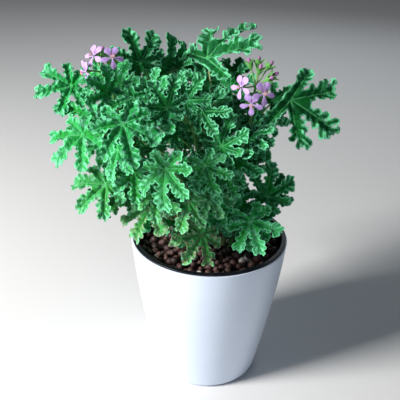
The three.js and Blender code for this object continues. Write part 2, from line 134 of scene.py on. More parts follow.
class Sweep:
    """A smooth curve from a start over a bend to an end."""

    def __init__(self, start, bend, end):
        self.start, self.bend, self.end = (np.asarray(p, float) for p in (start, bend, end))

    def point(self, t):
        return (1 - t) ** 2 * self.start + 2 * t * (1 - t) * self.bend + t * t * self.end

    def points(self, count):
        return [self.point(k / (count - 1)) for k in range(count)]


def linked(name, data):
    """A new object in the scene."""
    thing = bpy.data.objects.new(name, data)
    bpy.context.scene.collection.objects.link(thing)
    return thing


print("middle of a bent line:", Sweep((0, 0, 0), (1, 0, 0), (1, 1, 0)).point(0.5))

# %% [markdown]
# ## The view
#
# The plant is seen from a little above the pot, close enough for the rim to look like a wide ellipse.
# The camera's height, distance and small roll were worked out from that ellipse and the foot of the
# pot. The focal length follows from the same fit.

# %% Camera
CAMERA_AIM = Vector((-9.3, 0.0, 171.0)) * MM
CAMERA_DISTANCE = 572 * MM
CAMERA_RISE = math.radians(26.7)
CAMERA_ROLL = math.radians(1.7)
SENSOR_WIDTH = 36.0
IMAGE_WIDTH = 400
FOCAL_IN_PIXELS = 650.0
NEAREST_SEEN, FARTHEST_SEEN = 0.02, 20


def place_camera():
    back = Vector((0, -math.cos(CAMERA_RISE), math.sin(CAMERA_RISE)))
    level_up = Vector((0, math.sin(CAMERA_RISE), math.cos(CAMERA_RISE)))
    level_right = Vector((1, 0, 0))
    right = level_right * math.cos(CAMERA_ROLL) + level_up * math.sin(CAMERA_ROLL)
    up = level_up * math.cos(CAMERA_ROLL) - level_right * math.sin(CAMERA_ROLL)
    data = bpy.data.cameras.new("camera")
    data.sensor_fit = "HORIZONTAL"
    data.sensor_width = SENSOR_WIDTH
    data.lens = FOCAL_IN_PIXELS / IMAGE_WIDTH * SENSOR_WIDTH
    data.clip_start, data.clip_end = NEAREST_SEEN, FARTHEST_SEEN
    camera = linked("camera", data)
    camera.matrix_world = Matrix.Translation(CAMERA_AIM + back * CAMERA_DISTANCE) @ Matrix(
        (right, up, back)).transposed().to_4x4()
    bpy.context.scene.camera = camera
    return camera


camera = place_camera()
print("camera at", tuple(round(value, 3) for value in camera.location))

# %% [markdown]
# ## Nodes written as sums
#
# Finishes and shapes are both node trees. They could be wired socket by socket, but a formula says the
# same in one line. A `Wire` is one output of a node, and it can be added, multiplied and so on like a
# number, each time placing a Math node. A `Recipe` places every other kind of node with one method: the
# node's settings come first, because they decide which sockets it has.

# %% Wires


class Wire:
    """One output of a node, which can be used in sums."""

    def __init__(self, recipe, socket):
        self.recipe, self.socket = recipe, socket

    def __add__(self, other):
        return self.recipe.math("ADD", self, other)

    def __sub__(self, other):
        return self.recipe.math("SUBTRACT", self, other)

    def __rsub__(self, other):
        return self.recipe.math("SUBTRACT", other, self)

    def __mul__(self, other):
        return self.recipe.math("MULTIPLY", self, other)

    def __truediv__(self, other):
        return self.recipe.math("DIVIDE", self, other)

    def __rtruediv__(self, other):
        return self.recipe.math("DIVIDE", other, self)

    def __abs__(self):
        return self.recipe.math("ABSOLUTE", self)

    __radd__ = __add__
    __rmul__ = __mul__


print("wires can be added, subtracted, multiplied and divided")

# %% Recipes


def found(sockets, key):
    shown = [socket for socket in sockets if socket.enabled]
    if isinstance(key, int):
        return shown[key]
    return next(socket for socket in shown if key in (socket.name, socket.identifier))


class Recipe:
    """Writes a node tree, one node at a time."""

    def __init__(self, tree):
        self.tree = tree

    def feed(self, socket, value):
        if isinstance(value, Wire):
            self.tree.links.new(value.socket, socket)
        else:
            socket.default_value = value

    def node(self, kind, settings=None, inputs=None, out=0):
        made = self.tree.nodes.new(kind)
        for key, value in (settings or {}).items():
            setattr(made, key, value)
        for key, value in (inputs or {}).items():
            self.feed(found(made.inputs, key), value)
        if isinstance(out, tuple):
            return tuple(Wire(self, found(made.outputs, key)) for key in out)
        return Wire(self, found(made.outputs, out))

    def math(self, operation, *values):
        return self.node("ShaderNodeMath", {"operation": operation}, dict(enumerate(values)))

    def vector(self, operation, *values):
        return self.node("ShaderNodeVectorMath", {"operation": operation}, dict(enumerate(values)))

    def folded(self, operation, values):
        result = values[0]
        for value in values[1:]:
            result = self.math(operation, result, value)
        return result

    def least(self, *values):
        return self.folded("MINIMUM", values)

    def most(self, *values):
        return self.folded("MAXIMUM", values)

    def ease(self, value, start, end, low=0.0, high=1.0):
        """Goes smoothly from low to high as value goes from start to end."""
        return self.node("ShaderNodeMapRange", {"interpolation_type": "SMOOTHSTEP"}, {
            "Value": value, "From Min": start, "From Max": end, "To Min": low, "To Max": high})

    def noise(self, place, scale, detail=2.0, roughness=0.5):
        return self.node("ShaderNodeTexNoise", None, {
            "Vector": place, "Scale": scale, "Detail": detail, "Roughness": roughness}, "Fac")


print("recipes ready")

# %% [markdown]
# ## Recipes for finishes
#
# A real surface is never one flat colour: moulded plastic, soil, blades and petals all drift a little
# between two tones. Photographs of surfaces could give that, but noise keeps any size sharp. A `Finish`
# is one material: what is the same all over is set on the shader, and what varies is fed to it.

# %% Finishes


class Finish(Recipe):
    """One material. What varies is fed by name, and what is the same all over is set."""

    def __init__(self, name, **even):
        self.material = bpy.data.materials.new(name)
        self.material.use_nodes = True
        super().__init__(self.material.node_tree)
        self.shader = next(n for n in self.tree.nodes if n.type == "BSDF_PRINCIPLED")
        for key, value in even.items():
            self.give(key.replace("_", " ").title().replace("Ior", "IOR"), value)
        self.place = self.node("ShaderNodeTexCoord", None, None, "Object")

    def give(self, socket, value):
        self.feed(self.shader.inputs[socket], value)

    def mark(self, name):
        """An attribute that the mesh carries."""
        return self.node("ShaderNodeAttribute", {"attribute_name": name}, None, "Fac")

    def lobe(self):
        """How far along and how far across the nearest lobe or petal each point lies."""
        return self.node("ShaderNodeSeparateXYZ", None, {
            "Vector": self.node("ShaderNodeUVMap", {"uv_map": "lobe"})}, ("X", "Y"))

    def blend(self, factor, first, second):
        def colour(value):
            return value if isinstance(value, Wire) else (*value, 1.0)
        return self.node("ShaderNodeMix", {"data_type": "RGBA"}, {
            "Factor": factor, "A": colour(first), "B": colour(second)})

    def drift(self, noise, dark, pale):
        """Lets the colour drift between two tones, and returns the noise that drives it."""
        cloud = self.noise(self.place, *noise)
        self.give("Base Color", self.blend(cloud, dark, pale))
        return cloud

    def bump(self, height, strength, depth):
        self.give("Normal", self.node("ShaderNodeBump", None, {
            "Strength": strength, "Distance": depth, "Height": height}))


print("finishes ready")

# %% [markdown]
# ## Recipes for shapes
#
# Blades, stalks, hairs and granules repeat by the thousand. They could be copied in a loop, but a
# geometry tree does it faster and says in one place how they differ. A `Shape` is such a tree with its
# sizes as named inputs, so that one tree serves many pieces.

# %% Shapes


class Shape(Recipe):
    """A geometry node tree with named inputs. It ends in real faces with a finish on them."""

    SOCKETS = {float: "NodeSocketFloat", int: "NodeSocketInt"}

    def __init__(self, name, **inputs):
        tree = bpy.data.node_groups.new(name, "GeometryNodeTree")
        super().__init__(tree)
        tree.interface.new_socket("Geometry", in_out="INPUT", socket_type="NodeSocketGeometry")
        tree.interface.new_socket("Geometry", in_out="OUTPUT", socket_type="NodeSocketGeometry")
        self.keys = {}
        for key, value in inputs.items():
            kind = value if isinstance(value, str) else self.SOCKETS[type(value)]
            item = tree.interface.new_socket(key, in_out="INPUT", socket_type=kind)
            if not isinstance(value, str):
                item.default_value = value
            self.keys[key] = item.identifier
        self.inlet = tree.nodes.new("NodeGroupInput")
        self.host = Wire(self, self.inlet.outputs[0])

    def given(self, name):
        return Wire(self, self.inlet.outputs[name])

    def mark(self, name, kind="FLOAT"):
        return self.node("GeometryNodeInputNamedAttribute", {"data_type": kind}, {"Name": name})

    def store(self, geometry, name, value, kind="FLOAT"):
        return self.node("GeometryNodeStoreNamedAttribute", {"data_type": kind, "domain": "POINT"},
                         {"Geometry": geometry, "Name": name, "Value": value})

    def random(self, low, high, seed):
        kind = "FLOAT_VECTOR" if isinstance(low, tuple) else "FLOAT"
        return self.node("FunctionNodeRandomValue", {"data_type": kind}, {
            "Min": low, "Max": high, "Seed": seed})

    def on_points(self, points, inputs):
        return self.node("GeometryNodeInstanceOnPoints", None, {"Points": points, **inputs})

    def realize(self, geometry):
        return self.node("GeometryNodeRealizeInstances", None, {"Geometry": geometry})

    def end(self, geometry, smooth=True):
        shaded = self.node("GeometryNodeSetShadeSmooth", None, {
            "Geometry": self.realize(geometry), "Shade Smooth": smooth})
        dressed = self.node("GeometryNodeSetMaterial", None, {
            "Geometry": shaded, "Material": self.given("Finish")})
        outlet = self.tree.nodes.new("NodeGroupOutput")
        self.tree.links.new(dressed.socket, outlet.inputs[0])


print("shapes ready")

# %% [markdown]
# ## Meshes
#
# A piece is finished when it is one plain mesh at the origin. `mesh_object` makes a mesh from points
# and faces, with any marks that a finish or a shape reads from it. `grown` lets a geometry tree work on
# a host and keeps only its result, and `joined` puts several meshes in one piece.

# %% Making and joining meshes


def mesh_object(name, points, faces, finish=None, marks=None, edges=()):
    mesh = bpy.data.meshes.new(name)
    mesh.from_pydata([tuple(p) for p in points], list(edges), list(faces), shade_flat=False)
    for key, values in (marks or {}).items():
        values = np.asarray(values, float)
        kind, field = ("FLOAT", "value") if values.ndim == 1 else ("FLOAT_VECTOR", "vector")
        mesh.attributes.new(key, kind, "POINT").data.foreach_set(field, values.ravel())
    if finish:
        mesh.materials.append(finish.material)
    return linked(name, mesh)


def grown(shape, host, name, **values):
    """The plain mesh that a geometry tree makes from a host. The host is used up."""
    modifier = host.modifiers.new("shape", "NODES")
    modifier.node_group = shape.tree
    for key, value in values.items():
        modifier[shape.keys[key]] = value.material if isinstance(value, Finish) else value
    host.update_tag()
    graph = bpy.context.evaluated_depsgraph_get()
    mesh = bpy.data.meshes.new_from_object(
        host.evaluated_get(graph), preserve_all_data_layers=True, depsgraph=graph)
    host.modifiers.remove(modifier)
    bpy.data.objects.remove(host)
    return linked(name, mesh)


def joined(name, things):
    first = things[0]
    with bpy.context.temp_override(active_object=first, object=first, selected_objects=things,
                                   selected_editable_objects=things):
        bpy.ops.object.join()
    first.name = name
    first.data.name = name
    return first


print("mesh helpers ready")

# %% Handing a piece in
KEPT_MARKS = ("rim", "under", "age", "tint", "blush", "spot")
BUILT_IN_MARKS = ("position", "sharp_face", "sharp_edge", "material_index", ".edge_verts",
                  ".corner_vert", ".corner_edge")


def triangles(thing):
    return sum(len(face.vertices) - 2 for face in thing.data.polygons)


def is_spare(mark):
    wanted = mark.name in KEPT_MARKS + BUILT_IN_MARKS
    return mark.domain != "CORNER" and not mark.is_internal and not wanted


def handed_in(piece, nodes):
    """Clears helper marks from a finished piece and hands it to the frame."""
    for key in [mark.name for mark in piece.data.attributes if is_spare(mark)]:
        piece.data.attributes.remove(piece.data.attributes[key])
    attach(piece, "root")
    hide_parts(*nodes)
    print(f"{piece.name}: {triangles(piece)} triangles, stands for {', '.join(nodes)}")


# %% [markdown]
# ## Finishes of the pots
#
# The cover pot is injection-moulded, nearly white plastic with a satin gloss and a very fine orange-peel
# surface that breaks the reflections a little. A bluish tint is painted into its colour, as painted shade
# for the cool light on its shaded side. The liner is the same plastic in black, duller, with dust and
# fine scuffs from handling. One even gloss would look like glass or like chalk, so noise drives both the
# colour and the roughness.

# %% Pot finishes


def pot_white_finish():
    finish = Finish("pot_white", ior=1.48, coat_weight=0.25, coat_roughness=0.12)
    # Both tones are white with a painted bluish tint, as painted shade for the cool light on the pot's
    # shaded side.
    finish.drift((35.0, 3.0), (0.68, 0.77, 0.92), (0.73, 0.81, 0.96))
    finish.give("Roughness", 0.26 + 0.08 * finish.noise(finish.place, 90.0, 2.0))
    finish.bump(finish.noise(finish.place, 900.0, 1.0), 0.05, 0.0002)
    return finish


def liner_black_finish():
    finish = Finish("liner_black", ior=1.35)
    dust = finish.ease(finish.noise(finish.place, 140.0, 4.0, 0.7), 0.5, 0.75)
    finish.give("Base Color", finish.blend(dust, (0.003, 0.004, 0.008), (0.009, 0.010, 0.014)))
    finish.give("Roughness", 0.34 + 0.25 * dust)
    finish.bump(finish.noise(finish.place, 700.0, 2.0), 0.08, 0.0002)
    return finish


POT_WHITE = pot_white_finish()
LINER_BLACK = liner_black_finish()
print("pot finishes:", POT_WHITE.material.name, LINER_BLACK.material.name)

# %% [markdown]
# ## A lathe for pots and soil
#
# Both pots and the soil between them are round bodies. A profile of radius and height goes once round
# the upright axis. Blender's Screw modifier could do it too, but a lathe in code closes the poles and
# keeps the faces even. The wall's taper follows one formula, steep at the foot and nearly upright at the
# rim.

# %% Sizes of the pots
POT_HEIGHT = 138
RIM_RADIUS = 70
FOOT_RADIUS = 48.2
TAPER_POWER = 1.32
FOOT_ROUND = 6
POT_WALL = 2.4
POT_FLOOR = 3
FLANGE_THICK = 1.6
FLANGE_RADIUS = RIM_RADIUS - 1.1
LINER_WALL = 1.6
LINER_PLAY = 1.2
LINER_FLOOR_Z = 32
SOIL_PLAY = 0.7
SOIL_INSET = POT_WALL + LINER_PLAY + LINER_WALL + SOIL_PLAY
SOIL_Z = 127
SOIL_DISH = 3
TURNED_SIDES = 80


def pot_radius(height):
    return FOOT_RADIUS + (RIM_RADIUS - FOOT_RADIUS) * (1 - (1 - height / POT_HEIGHT) ** TAPER_POWER)


print("pot radius at a third of its height:", round(pot_radius(POT_HEIGHT / 3), 1), "mm")

# %% The lathe


def on_wall(height, inset=0):
    return pot_radius(height) - inset, height


def wall(start, end, inset, steps):
    return [on_wall(height, inset) for height in np.linspace(start, end, steps)]


def rounded(before, corner, after, radius, steps=5):
    """Points of a small arc that cuts a profile's corner."""
    before, corner, after = (np.array(p, float) for p in (before, corner, after))
    start = corner + unit(before - corner) * radius
    end = corner + unit(after - corner) * radius
    return [tuple(Sweep(start, corner, end).point(k / steps)) for k in range(steps + 1)]


def turned(name, profile, finish, sides=TURNED_SIDES):
    """A closed body from a profile that starts and ends on the axis."""
    points = [(0, 0, profile[0][1] * MM)]
    for radius, height in profile[1:-1]:
        for k in range(sides):
            angle = 2 * math.pi * k / sides
            points.append((radius * math.cos(angle) * MM, radius * math.sin(angle) * MM, height * MM))
    points.append((0, 0, profile[-1][1] * MM))
    faces = []
    rings = len(profile) - 2
    top = 1 + (rings - 1) * sides
    last = len(points) - 1
    for k in range(sides):
        n = (k + 1) % sides
        faces.append((0, 1 + n, 1 + k))
        for a in range(1, top, sides):
            b = a + sides
            faces.append((a + k, a + n, b + n, b + k))
        faces.append((top + k, top + n, last))
    return mesh_object(name, points, faces, finish)


print("lathe ready, with", TURNED_SIDES, "sides")

# %% [markdown]
# ## The cover pot
#
# The real pot is moulded in one piece: a foot with a round edge, a thin wall, and a lip that isn't sharp
# to the touch. A cylinder with a bevel could stand in for it, but a profile gives each of those edges
# its own radius, and makes the inside and the outside in one closed turn.

# %% Cover pot
FOOT_ARC_POINTS = 9
FOOT_RING = 0.6
LIP_ROUND, INNER_LIP_ROUND, FLOOR_ROUND = 0.7, 0.5, 8
INNER_WALL_LOW = 14


def cover_pot():
    lip = POT_HEIGHT - FLANGE_THICK
    foot = pot_radius(FOOT_ROUND) - FOOT_ROUND
    foot_arc = [(foot + FOOT_ROUND * math.sin(a), FOOT_ROUND * (1 - math.cos(a)))
                for a in np.linspace(0, math.pi / 2, FOOT_ARC_POINTS)]
    outer_top, inner_top = on_wall(lip), on_wall(lip, POT_WALL)
    floor_corner = (pot_radius(POT_FLOOR) - POT_WALL - 1, POT_FLOOR)
    return turned("cover_pot", [
        (0, 0), (foot * FOOT_RING, 0),
        *foot_arc,
        *wall(FOOT_ROUND + 2, lip - 2, 0, 24),
        *rounded(on_wall(lip - 2), outer_top, inner_top, LIP_ROUND),
        *rounded(outer_top, inner_top, on_wall(lip - 3, POT_WALL), INNER_LIP_ROUND),
        *wall(lip - 4, INNER_WALL_LOW, POT_WALL, 12),
        *rounded(on_wall(INNER_WALL_LOW, POT_WALL), floor_corner, (0, POT_FLOOR), FLOOR_ROUND),
        (0, POT_FLOOR),
    ], POT_WHITE)


handed_in(cover_pot(), ["outer_pot"])

# %% [markdown]
# ## The liner pot
#
# The black liner that the plant was potted in hangs by its flange on the cover pot's lip, and its rim is
# the dark ring that frames the soil. It could be a copy of the cover pot, made smaller, but its floor is
# higher and its rim is flat, so it gets a profile of its own on the same taper.

# %% Liner pot
FLANGE_EDGE_ROUND, FLANGE_TOP_ROUND, LINER_LIP_ROUND = 0.3, 0.7, 1.1
LINER_FLOOR_RING = 30


def liner_pot():
    top, under = POT_HEIGHT, POT_HEIGHT - FLANGE_THICK
    outside = POT_WALL + LINER_PLAY
    inside = outside + LINER_WALL
    edge_low, edge_high, inner_lip = (FLANGE_RADIUS, under), (FLANGE_RADIUS, top), on_wall(top, inside)
    return turned("liner_pot", [
        (0, LINER_FLOOR_Z), (LINER_FLOOR_RING, LINER_FLOOR_Z),
        *wall(LINER_FLOOR_Z, under - 0.2, outside, 20),
        (pot_radius(under) - outside + 0.3, under),
        *rounded((FLANGE_RADIUS - 2, under), edge_low, edge_high, FLANGE_EDGE_ROUND, 2),
        *rounded(edge_low, edge_high, inner_lip, FLANGE_TOP_ROUND),
        *rounded(edge_high, inner_lip, on_wall(top - 4, inside), LINER_LIP_ROUND),
        *wall(top - 2.5, LINER_FLOOR_Z + LINER_WALL, inside, 20),
        (0, LINER_FLOOR_Z + LINER_WALL),
    ], LINER_BLACK)


handed_in(liner_pot(), ["inner_pot"])

# %% [markdown]
# ## The finish of the leaves
#
# A blade is velvety: a soft sheen lies over a cool green. Its veins and its margin are pale, because the
# fine hairs stand thickest there and catch the light. Its back is duller, and the oldest turn reddish
# along the edge. Light and shade are painted into the greens: paler on the sunny side and low down,
# darker on the shaded right and high up, with a painted mint sheen in patches on the sunny side. Veins
# could be painted as a picture, but every leaf differs, so each blade carries a map of its own: how far
# along and how far across the nearest lobe a point lies. A band round zero across is the middle vein,
# and slanting bands are the side veins. The colours then lie over each other in layers, as named below.

# %% Leaf colours
# Each pair runs from a painted-shade green to a painted-sunlit green, and the tint mark picks between
# them.
OLD_GREENS = ((0.002, 0.075, 0.012), (0.014, 0.310, 0.058))
YOUNG_GREENS = ((0.003, 0.118, 0.019), (0.028, 0.430, 0.095))
LAYERS = {
    "clear": (0.006, 0.275, 0.018),
    # Painted sheen: a pale mint highlight laid in patches, strongest on the sunny side.
    "dust_and_sheen": (0.170, 0.530, 0.350),
    "aged": (0.100, 0.330, 0.090),
    "veins": (0.110, 0.520, 0.180),
    "margin": (0.185, 0.680, 0.370),
    "back": (0.035, 0.235, 0.085),
    "worn": (0.330, 0.150, 0.095),
}
SIDE_VEINS = (0.44, 0.61, 0.79)
VEIN_SLANT = 0.72
VEIN_HALF_WIDTH = 0.011
SIDE_VEIN_STRENGTH = 0.55
print("layers on the leaf's greens:", ", ".join(LAYERS))

# %% Leaf finish


def vein_masks(finish):
    """The middle vein of each lobe, and all veins."""
    along, across = finish.lobe()
    width = abs(across)
    middle = finish.ease(width - VEIN_HALF_WIDTH * (1.25 - along), 0.013, 0.0)
    chevron = along - width * VEIN_SLANT
    nearest = finish.least(*[abs(chevron - vein) for vein in SIDE_VEINS])
    side = finish.ease(nearest, 0.016, 0.002) * finish.ease(width, 0.34, 0.10)
    return middle, finish.most(middle, side * SIDE_VEIN_STRENGTH)


def leaf_finish():
    finish = Finish("leaf_green", ior=1.38, subsurface_weight=0.22, subsurface_scale=0.0006,
                    subsurface_radius=(0.10, 1.0, 0.10), sheen_weight=0.12, sheen_roughness=0.45,
                    sheen_tint=(0.18, 1.00, 0.52, 1.0), specular_tint=(0.28, 1.00, 0.60, 1.0))
    middle, veins = vein_masks(finish)
    rim, age, under, tint = (finish.mark(name) for name in ("rim", "age", "under", "tint"))
    patch = finish.noise(finish.place, 260.0, 3.0, 0.6)
    half = finish.noise(finish.place, 55.0, 1.0)
    # Painted sheen: patches where the mint highlight of the hairs is painted into the colour.
    dust_and_sheen = finish.ease(patch, 0.48, 0.62) * finish.ease(half, 0.60, 0.46)
    worn = finish.ease(age, 0.83, 0.93) * finish.ease(patch, 0.35, 0.55) * finish.most(
        finish.ease(rim, 0.06, 0.0), middle)
    shares = {
        # The tint mark paints sunlight: it strengthens the clear green and the painted sheen on the sunny
        # side.
        "clear": finish.ease(half, 0.54, 0.62) * (0.20 + 0.65 * tint),
        "dust_and_sheen": dust_and_sheen * (0.10 + 0.72 * tint),
        "aged": finish.ease(age, 0.74, 0.94) * 0.5,
        "veins": veins * 0.62,
        "margin": finish.ease(rim, 0.038, 0.008) * 0.90,
        "back": under * 0.45,
        "worn": worn * 0.70,
    }
    # Painted light and shade: tint picks between the shaded and the sunlit green of each pair.
    green = finish.blend(age, finish.blend(tint, *YOUNG_GREENS), finish.blend(tint, *OLD_GREENS))
    for layer, colour in LAYERS.items():
        green = finish.blend(shares[layer], green, colour)
    finish.give("Base Color", green)
    finish.give("Roughness", 0.50 + 0.18 * patch)
    cells = finish.node("ShaderNodeTexVoronoi", {"feature": "F1"}, {
        "Vector": finish.place, "Scale": 900.0}, "Distance")
    crumple = finish.noise(finish.place, 340.0, 2.0, 0.6)
    finish.bump(crumple * 1.5 + cells * 0.3 - veins * 0.3, 0.8, 0.0012)
    return finish


LEAF_GREEN = leaf_finish()
print("leaf finish has", len(LEAF_GREEN.tree.nodes), "nodes")

# %% [markdown]
# ## The finishes of stalks and hairs
#
# Stalks are fresh green with fine streaks. They turn woody and brown near the soil, where the mark for
# age is high, and blush pink on some flower and leaf stalks. One green for all would do from afar, but
# the marks that each stalk carries let a single finish serve every one. Hairs are pale green.

# %% Stalk and hair finishes


def stalk_finish():
    finish = Finish("stalk_green", ior=1.42, subsurface_weight=0.10, subsurface_scale=0.002,
                    subsurface_radius=(0.5, 1.0, 0.35), sheen_weight=0.10, sheen_roughness=0.35,
                    sheen_tint=(0.85, 0.95, 0.82, 1.0))
    streak = finish.noise(finish.place, 420.0, 3.0)
    green = finish.blend(streak, (0.085, 0.330, 0.065), (0.170, 0.480, 0.120))
    green = finish.blend(finish.mark("age") * 0.75, green, (0.230, 0.170, 0.080))
    green = finish.blend(finish.mark("blush"), green, (0.420, 0.100, 0.230))
    finish.give("Base Color", green)
    finish.give("Roughness", 0.50 + 0.18 * streak)
    finish.bump(finish.noise(finish.place, 1300.0, 2.0), 0.25, 0.0003)
    return finish


STALK_GREEN = stalk_finish()
HAIR_PALE = Finish("hair_pale", roughness=0.45, ior=1.45, subsurface_weight=0.2, subsurface_scale=0.001)
HAIR_PALE.drift((200.0, 2.0), (0.06, 0.42, 0.20), (0.15, 0.58, 0.32))
print("stalk and hair finishes ready")

# %% [markdown]
# ## The plan of the plant
#
# Fifteen shoots stand in the soil. They carry leaves that were placed one by one after the real plant,
# or leaves that follow its spiral, each turned 137.5 degrees from the last, or both. A plant grown by
# rule alone would be quicker to write, but its large leaves would stand in the wrong places. These are
# the numbers that the frame's solids were made with, so the fine leaves land where the plain ones are.

# %% Directions and rows of the plan
ROOT_DEPTH = 18
STALK_LENGTH = 32
GOLDEN_ANGLE = 137.5
BUSH_MIDDLE = np.array((-15.0, 5.0, 195.0))
SUN = unit((-0.3, -0.8, 0.55))
FRONT = unit((-0.1, -0.85, 0.5))
SLANT = unit((-0.2, -0.7, 0.7))
LEFTWARD = unit((-0.6, -0.5, 0.6))
RIGHTWARD = unit((0.5, -0.6, 0.6))
SKYWARD = unit((-0.1, -0.4, 0.9))


def leaf(at, ahead, size, face=None):
    return {"at": np.array(at, float), "ahead": unit(ahead), "size": size, "face": face}


def shoot(name, root, tip, leaves=(), more=0, turn=0):
    return {"name": name, "root": root, "tip": tip, "leaves": leaves, "more": more, "turn": turn}


print("the sun stands towards", SUN.round(2))

# %% Shoots
SHOOTS = [
    shoot("left_low", (-12, -8), (-58, -34, 198), [
        leaf((-83, -52, 208), (-22, -14, -16), 30, LEFTWARD),
        leaf((-60, -58, 222), (2, -14, -20), 24, SKYWARD),
        leaf((-70, -30, 222), (-18, -10, 14), 26),
    ], 1, 200),
    shoot("left_mid", (-14, 2), (-74, -24, 240), [
        leaf((-100, -45, 246), (-20, -14, -16), 31, FRONT),
        leaf((-92, -28, 254), (-26, -2, 12), 28, SKYWARD),
        leaf((-67, -66, 264), (10, -16, -24), 32, FRONT),
        leaf((-72, -56, 239), (-6, -14, -20), 24),
    ], 1, 160),
    shoot("left_high", (-10, 8), (-88, -4, 264), [
        leaf((-115, -5, 273), (-28, -10, -4), 29, unit((0.2, -0.85, 0.4))),
        leaf((-84, -30, 276), (-10, -16, 16), 24, SLANT),
        leaf((-75, -14, 277), (8, -4, 20), 22, FRONT),
    ], 1, 20),
    shoot("top_left", (-4, 12), (-54, 10, 270), [
        leaf((-60, 0, 288), (-10, -4, 26), 29, FRONT),
        leaf((-42, 18, 284), (8, 2, 28), 27, RIGHTWARD),
        leaf((-67, -30, 272), (-8, -16, -12), 24),
        leaf((-51, -22, 272), (14, -6, 12), 24, FRONT),
    ], 1, 90),
    shoot("top_mid", (2, 16), (-24, 38, 258), [
        leaf((-25, 44, 276), (-2, 4, 24), 24, RIGHTWARD),
        leaf((-38, 26, 276), (4, -2, 20), 18, FRONT),
    ], 2, 60),
    shoot("top_right", (6, 8), (-2, 8, 262), [
        leaf((-6, 13, 292), (32, 18, 36), 46, unit((-0.62, -0.42, 0.6))),
        leaf((14, 4, 272), (20, -8, 12), 25, SKYWARD),
        leaf((-8, 6, 278), (-14, -4, 10), 22, FRONT),
    ], 1, 100),
    shoot("centre", (-2, 0), (-18, -14, 250), [
        leaf((7, -40, 238), (4, 6, 22), 27, SKYWARD),
        leaf((-22, -24, 270), (10, -4, 18), 24, FRONT),
        leaf((-38, -36, 259), (-10, -14, -8), 24),
        leaf((-9, -30, 263), (14, -10, 4), 24),
        leaf((-36, -44, 270), (-12, -4, 20), 25),
    ]),
    shoot("right_high", (12, 0), (32, -6, 246), [
        leaf((62, -2, 265), (28, -14, -14), 42, unit((-0.3, -0.75, 0.6))),
        leaf((41, 10, 238), (-10, -10, -18), 24, RIGHTWARD),
    ]),
    shoot("right_mid", (6, -8), (16, -24, 228), [
        leaf((28, -30, 241), (8, -14, 2), 22, SKYWARD),
        leaf((20, -26, 230), (16, -12, -6), 24),
        leaf((6, -48, 218), (-2, -14, -16), 23),
    ]),
    shoot("right_low", (14, -8), (36, -16, 172), [
        leaf((47, -15, 184), (4, 6, 26), 30, FRONT),
        leaf((33, -40, 173), (10, -16, -18), 29, FRONT),
    ]),
    shoot("front", (0, -14), (-22, -42, 205), [
        leaf((-35, -68, 230), (-2, -12, -20), 31, FRONT),
        leaf((-8, -50, 165), (-10, -18, -14), 27, FRONT),
        leaf((-18, -55, 197), (-6, -16, -18), 25, SKYWARD),
        leaf((-4, -54, 196), (6, -14, -14), 20),
        leaf((-6, -52, 227), (8, -12, -16), 25),
    ]),
    shoot("front_left", (-8, -14), (-38, -36, 178), [
        leaf((-48, -50, 186), (-10, -18, -12), 28, FRONT),
        leaf((-37, -56, 196), (2, -16, -18), 24),
    ]),
    shoot("back_left", (-10, 18), (-62, 48, 226), (), 4, 120),
    shoot("back", (4, 22), (-8, 70, 236), (), 4, 90),
    shoot("back_right", (14, 12), (18, 50, 220), (), 4, 95),
]
print(len(SHOOTS), "shoots with", sum(len(item["leaves"]) for item in SHOOTS), "placed leaves and",
      sum(item["more"] for item in SHOOTS), "spiral ones")

# %% [markdown]
# ## Stems and the places of the leaves
#
# A stem leaves the soil upright and leans as it grows, so each one is a curve whose bend lies high. A
# stalk leaves it where its usual length just reaches the leaf. Places could be read from the frame's
# solids, but those are loose triangles, so they are worked out again from the plan.

# %% Stems and stalks
BEND_SHARE = np.array((0.3, 0.3, 0.62))
JOINT_PLACES = np.arange(0.35, 0.96, 0.05)
LOW_JOINT_COST = 14


def stem_sweep(item):
    foot = np.array((*item["root"], SOIL_Z - ROOT_DEPTH), float)
    end = np.array(item["tip"], float)
    return Sweep(foot, foot + (end - foot) * BEND_SHARE, end)


def joint_for(at, stem):
    """The place on the stem from which a stalk of the usual length reaches a leaf."""
    def misfit(along):
        length = np.linalg.norm(stem.point(along) - at)
        return abs(length - STALK_LENGTH) + LOW_JOINT_COST * (1 - along)
    return stem.point(min(JOINT_PLACES, key=misfit))


def stalk_sweep(item):
    reach = item["at"] - item["joint"]
    bend = item["joint"] + 0.55 * reach + 0.14 * np.linalg.norm(reach) * UP
    return Sweep(item["joint"], bend, item["at"])


print("top of the first stem:", stem_sweep(SHOOTS[0]).end)

# %% Places of the leaves
BACK_BEGINS_Y = 30
# Shares of the sun, of the way outwards and of the way up in how a blade looks
PLACED_FACE, FRONT_FACE, BACK_FACE = (0.5, 0.5, 0.4), (0.75, 0.6, 0.2), (0.15, 0.6, 0.5)
SPIRAL_BEGINS, SPIRAL_RUN = 0.45, 0.55
# Reach of a spiral leaf's stalk and its size at the soil, and what both lose up to the tip
SPIRAL_REACH, SPIRAL_SIZE = (34, 8), (32, 4)


def faced(at, to_sun, outward, upward):
    """Which way a blade looks: partly to the sun, partly outwards and partly up."""
    return unit(to_sun * SUN + outward * unit(at - BUSH_MIDDLE) + upward * UP)


def placed_leaf(item, stem):
    face = faced(item["at"], *PLACED_FACE) if item["face"] is None else item["face"]
    return {**item, "face": face, "joint": joint_for(item["at"], stem)}


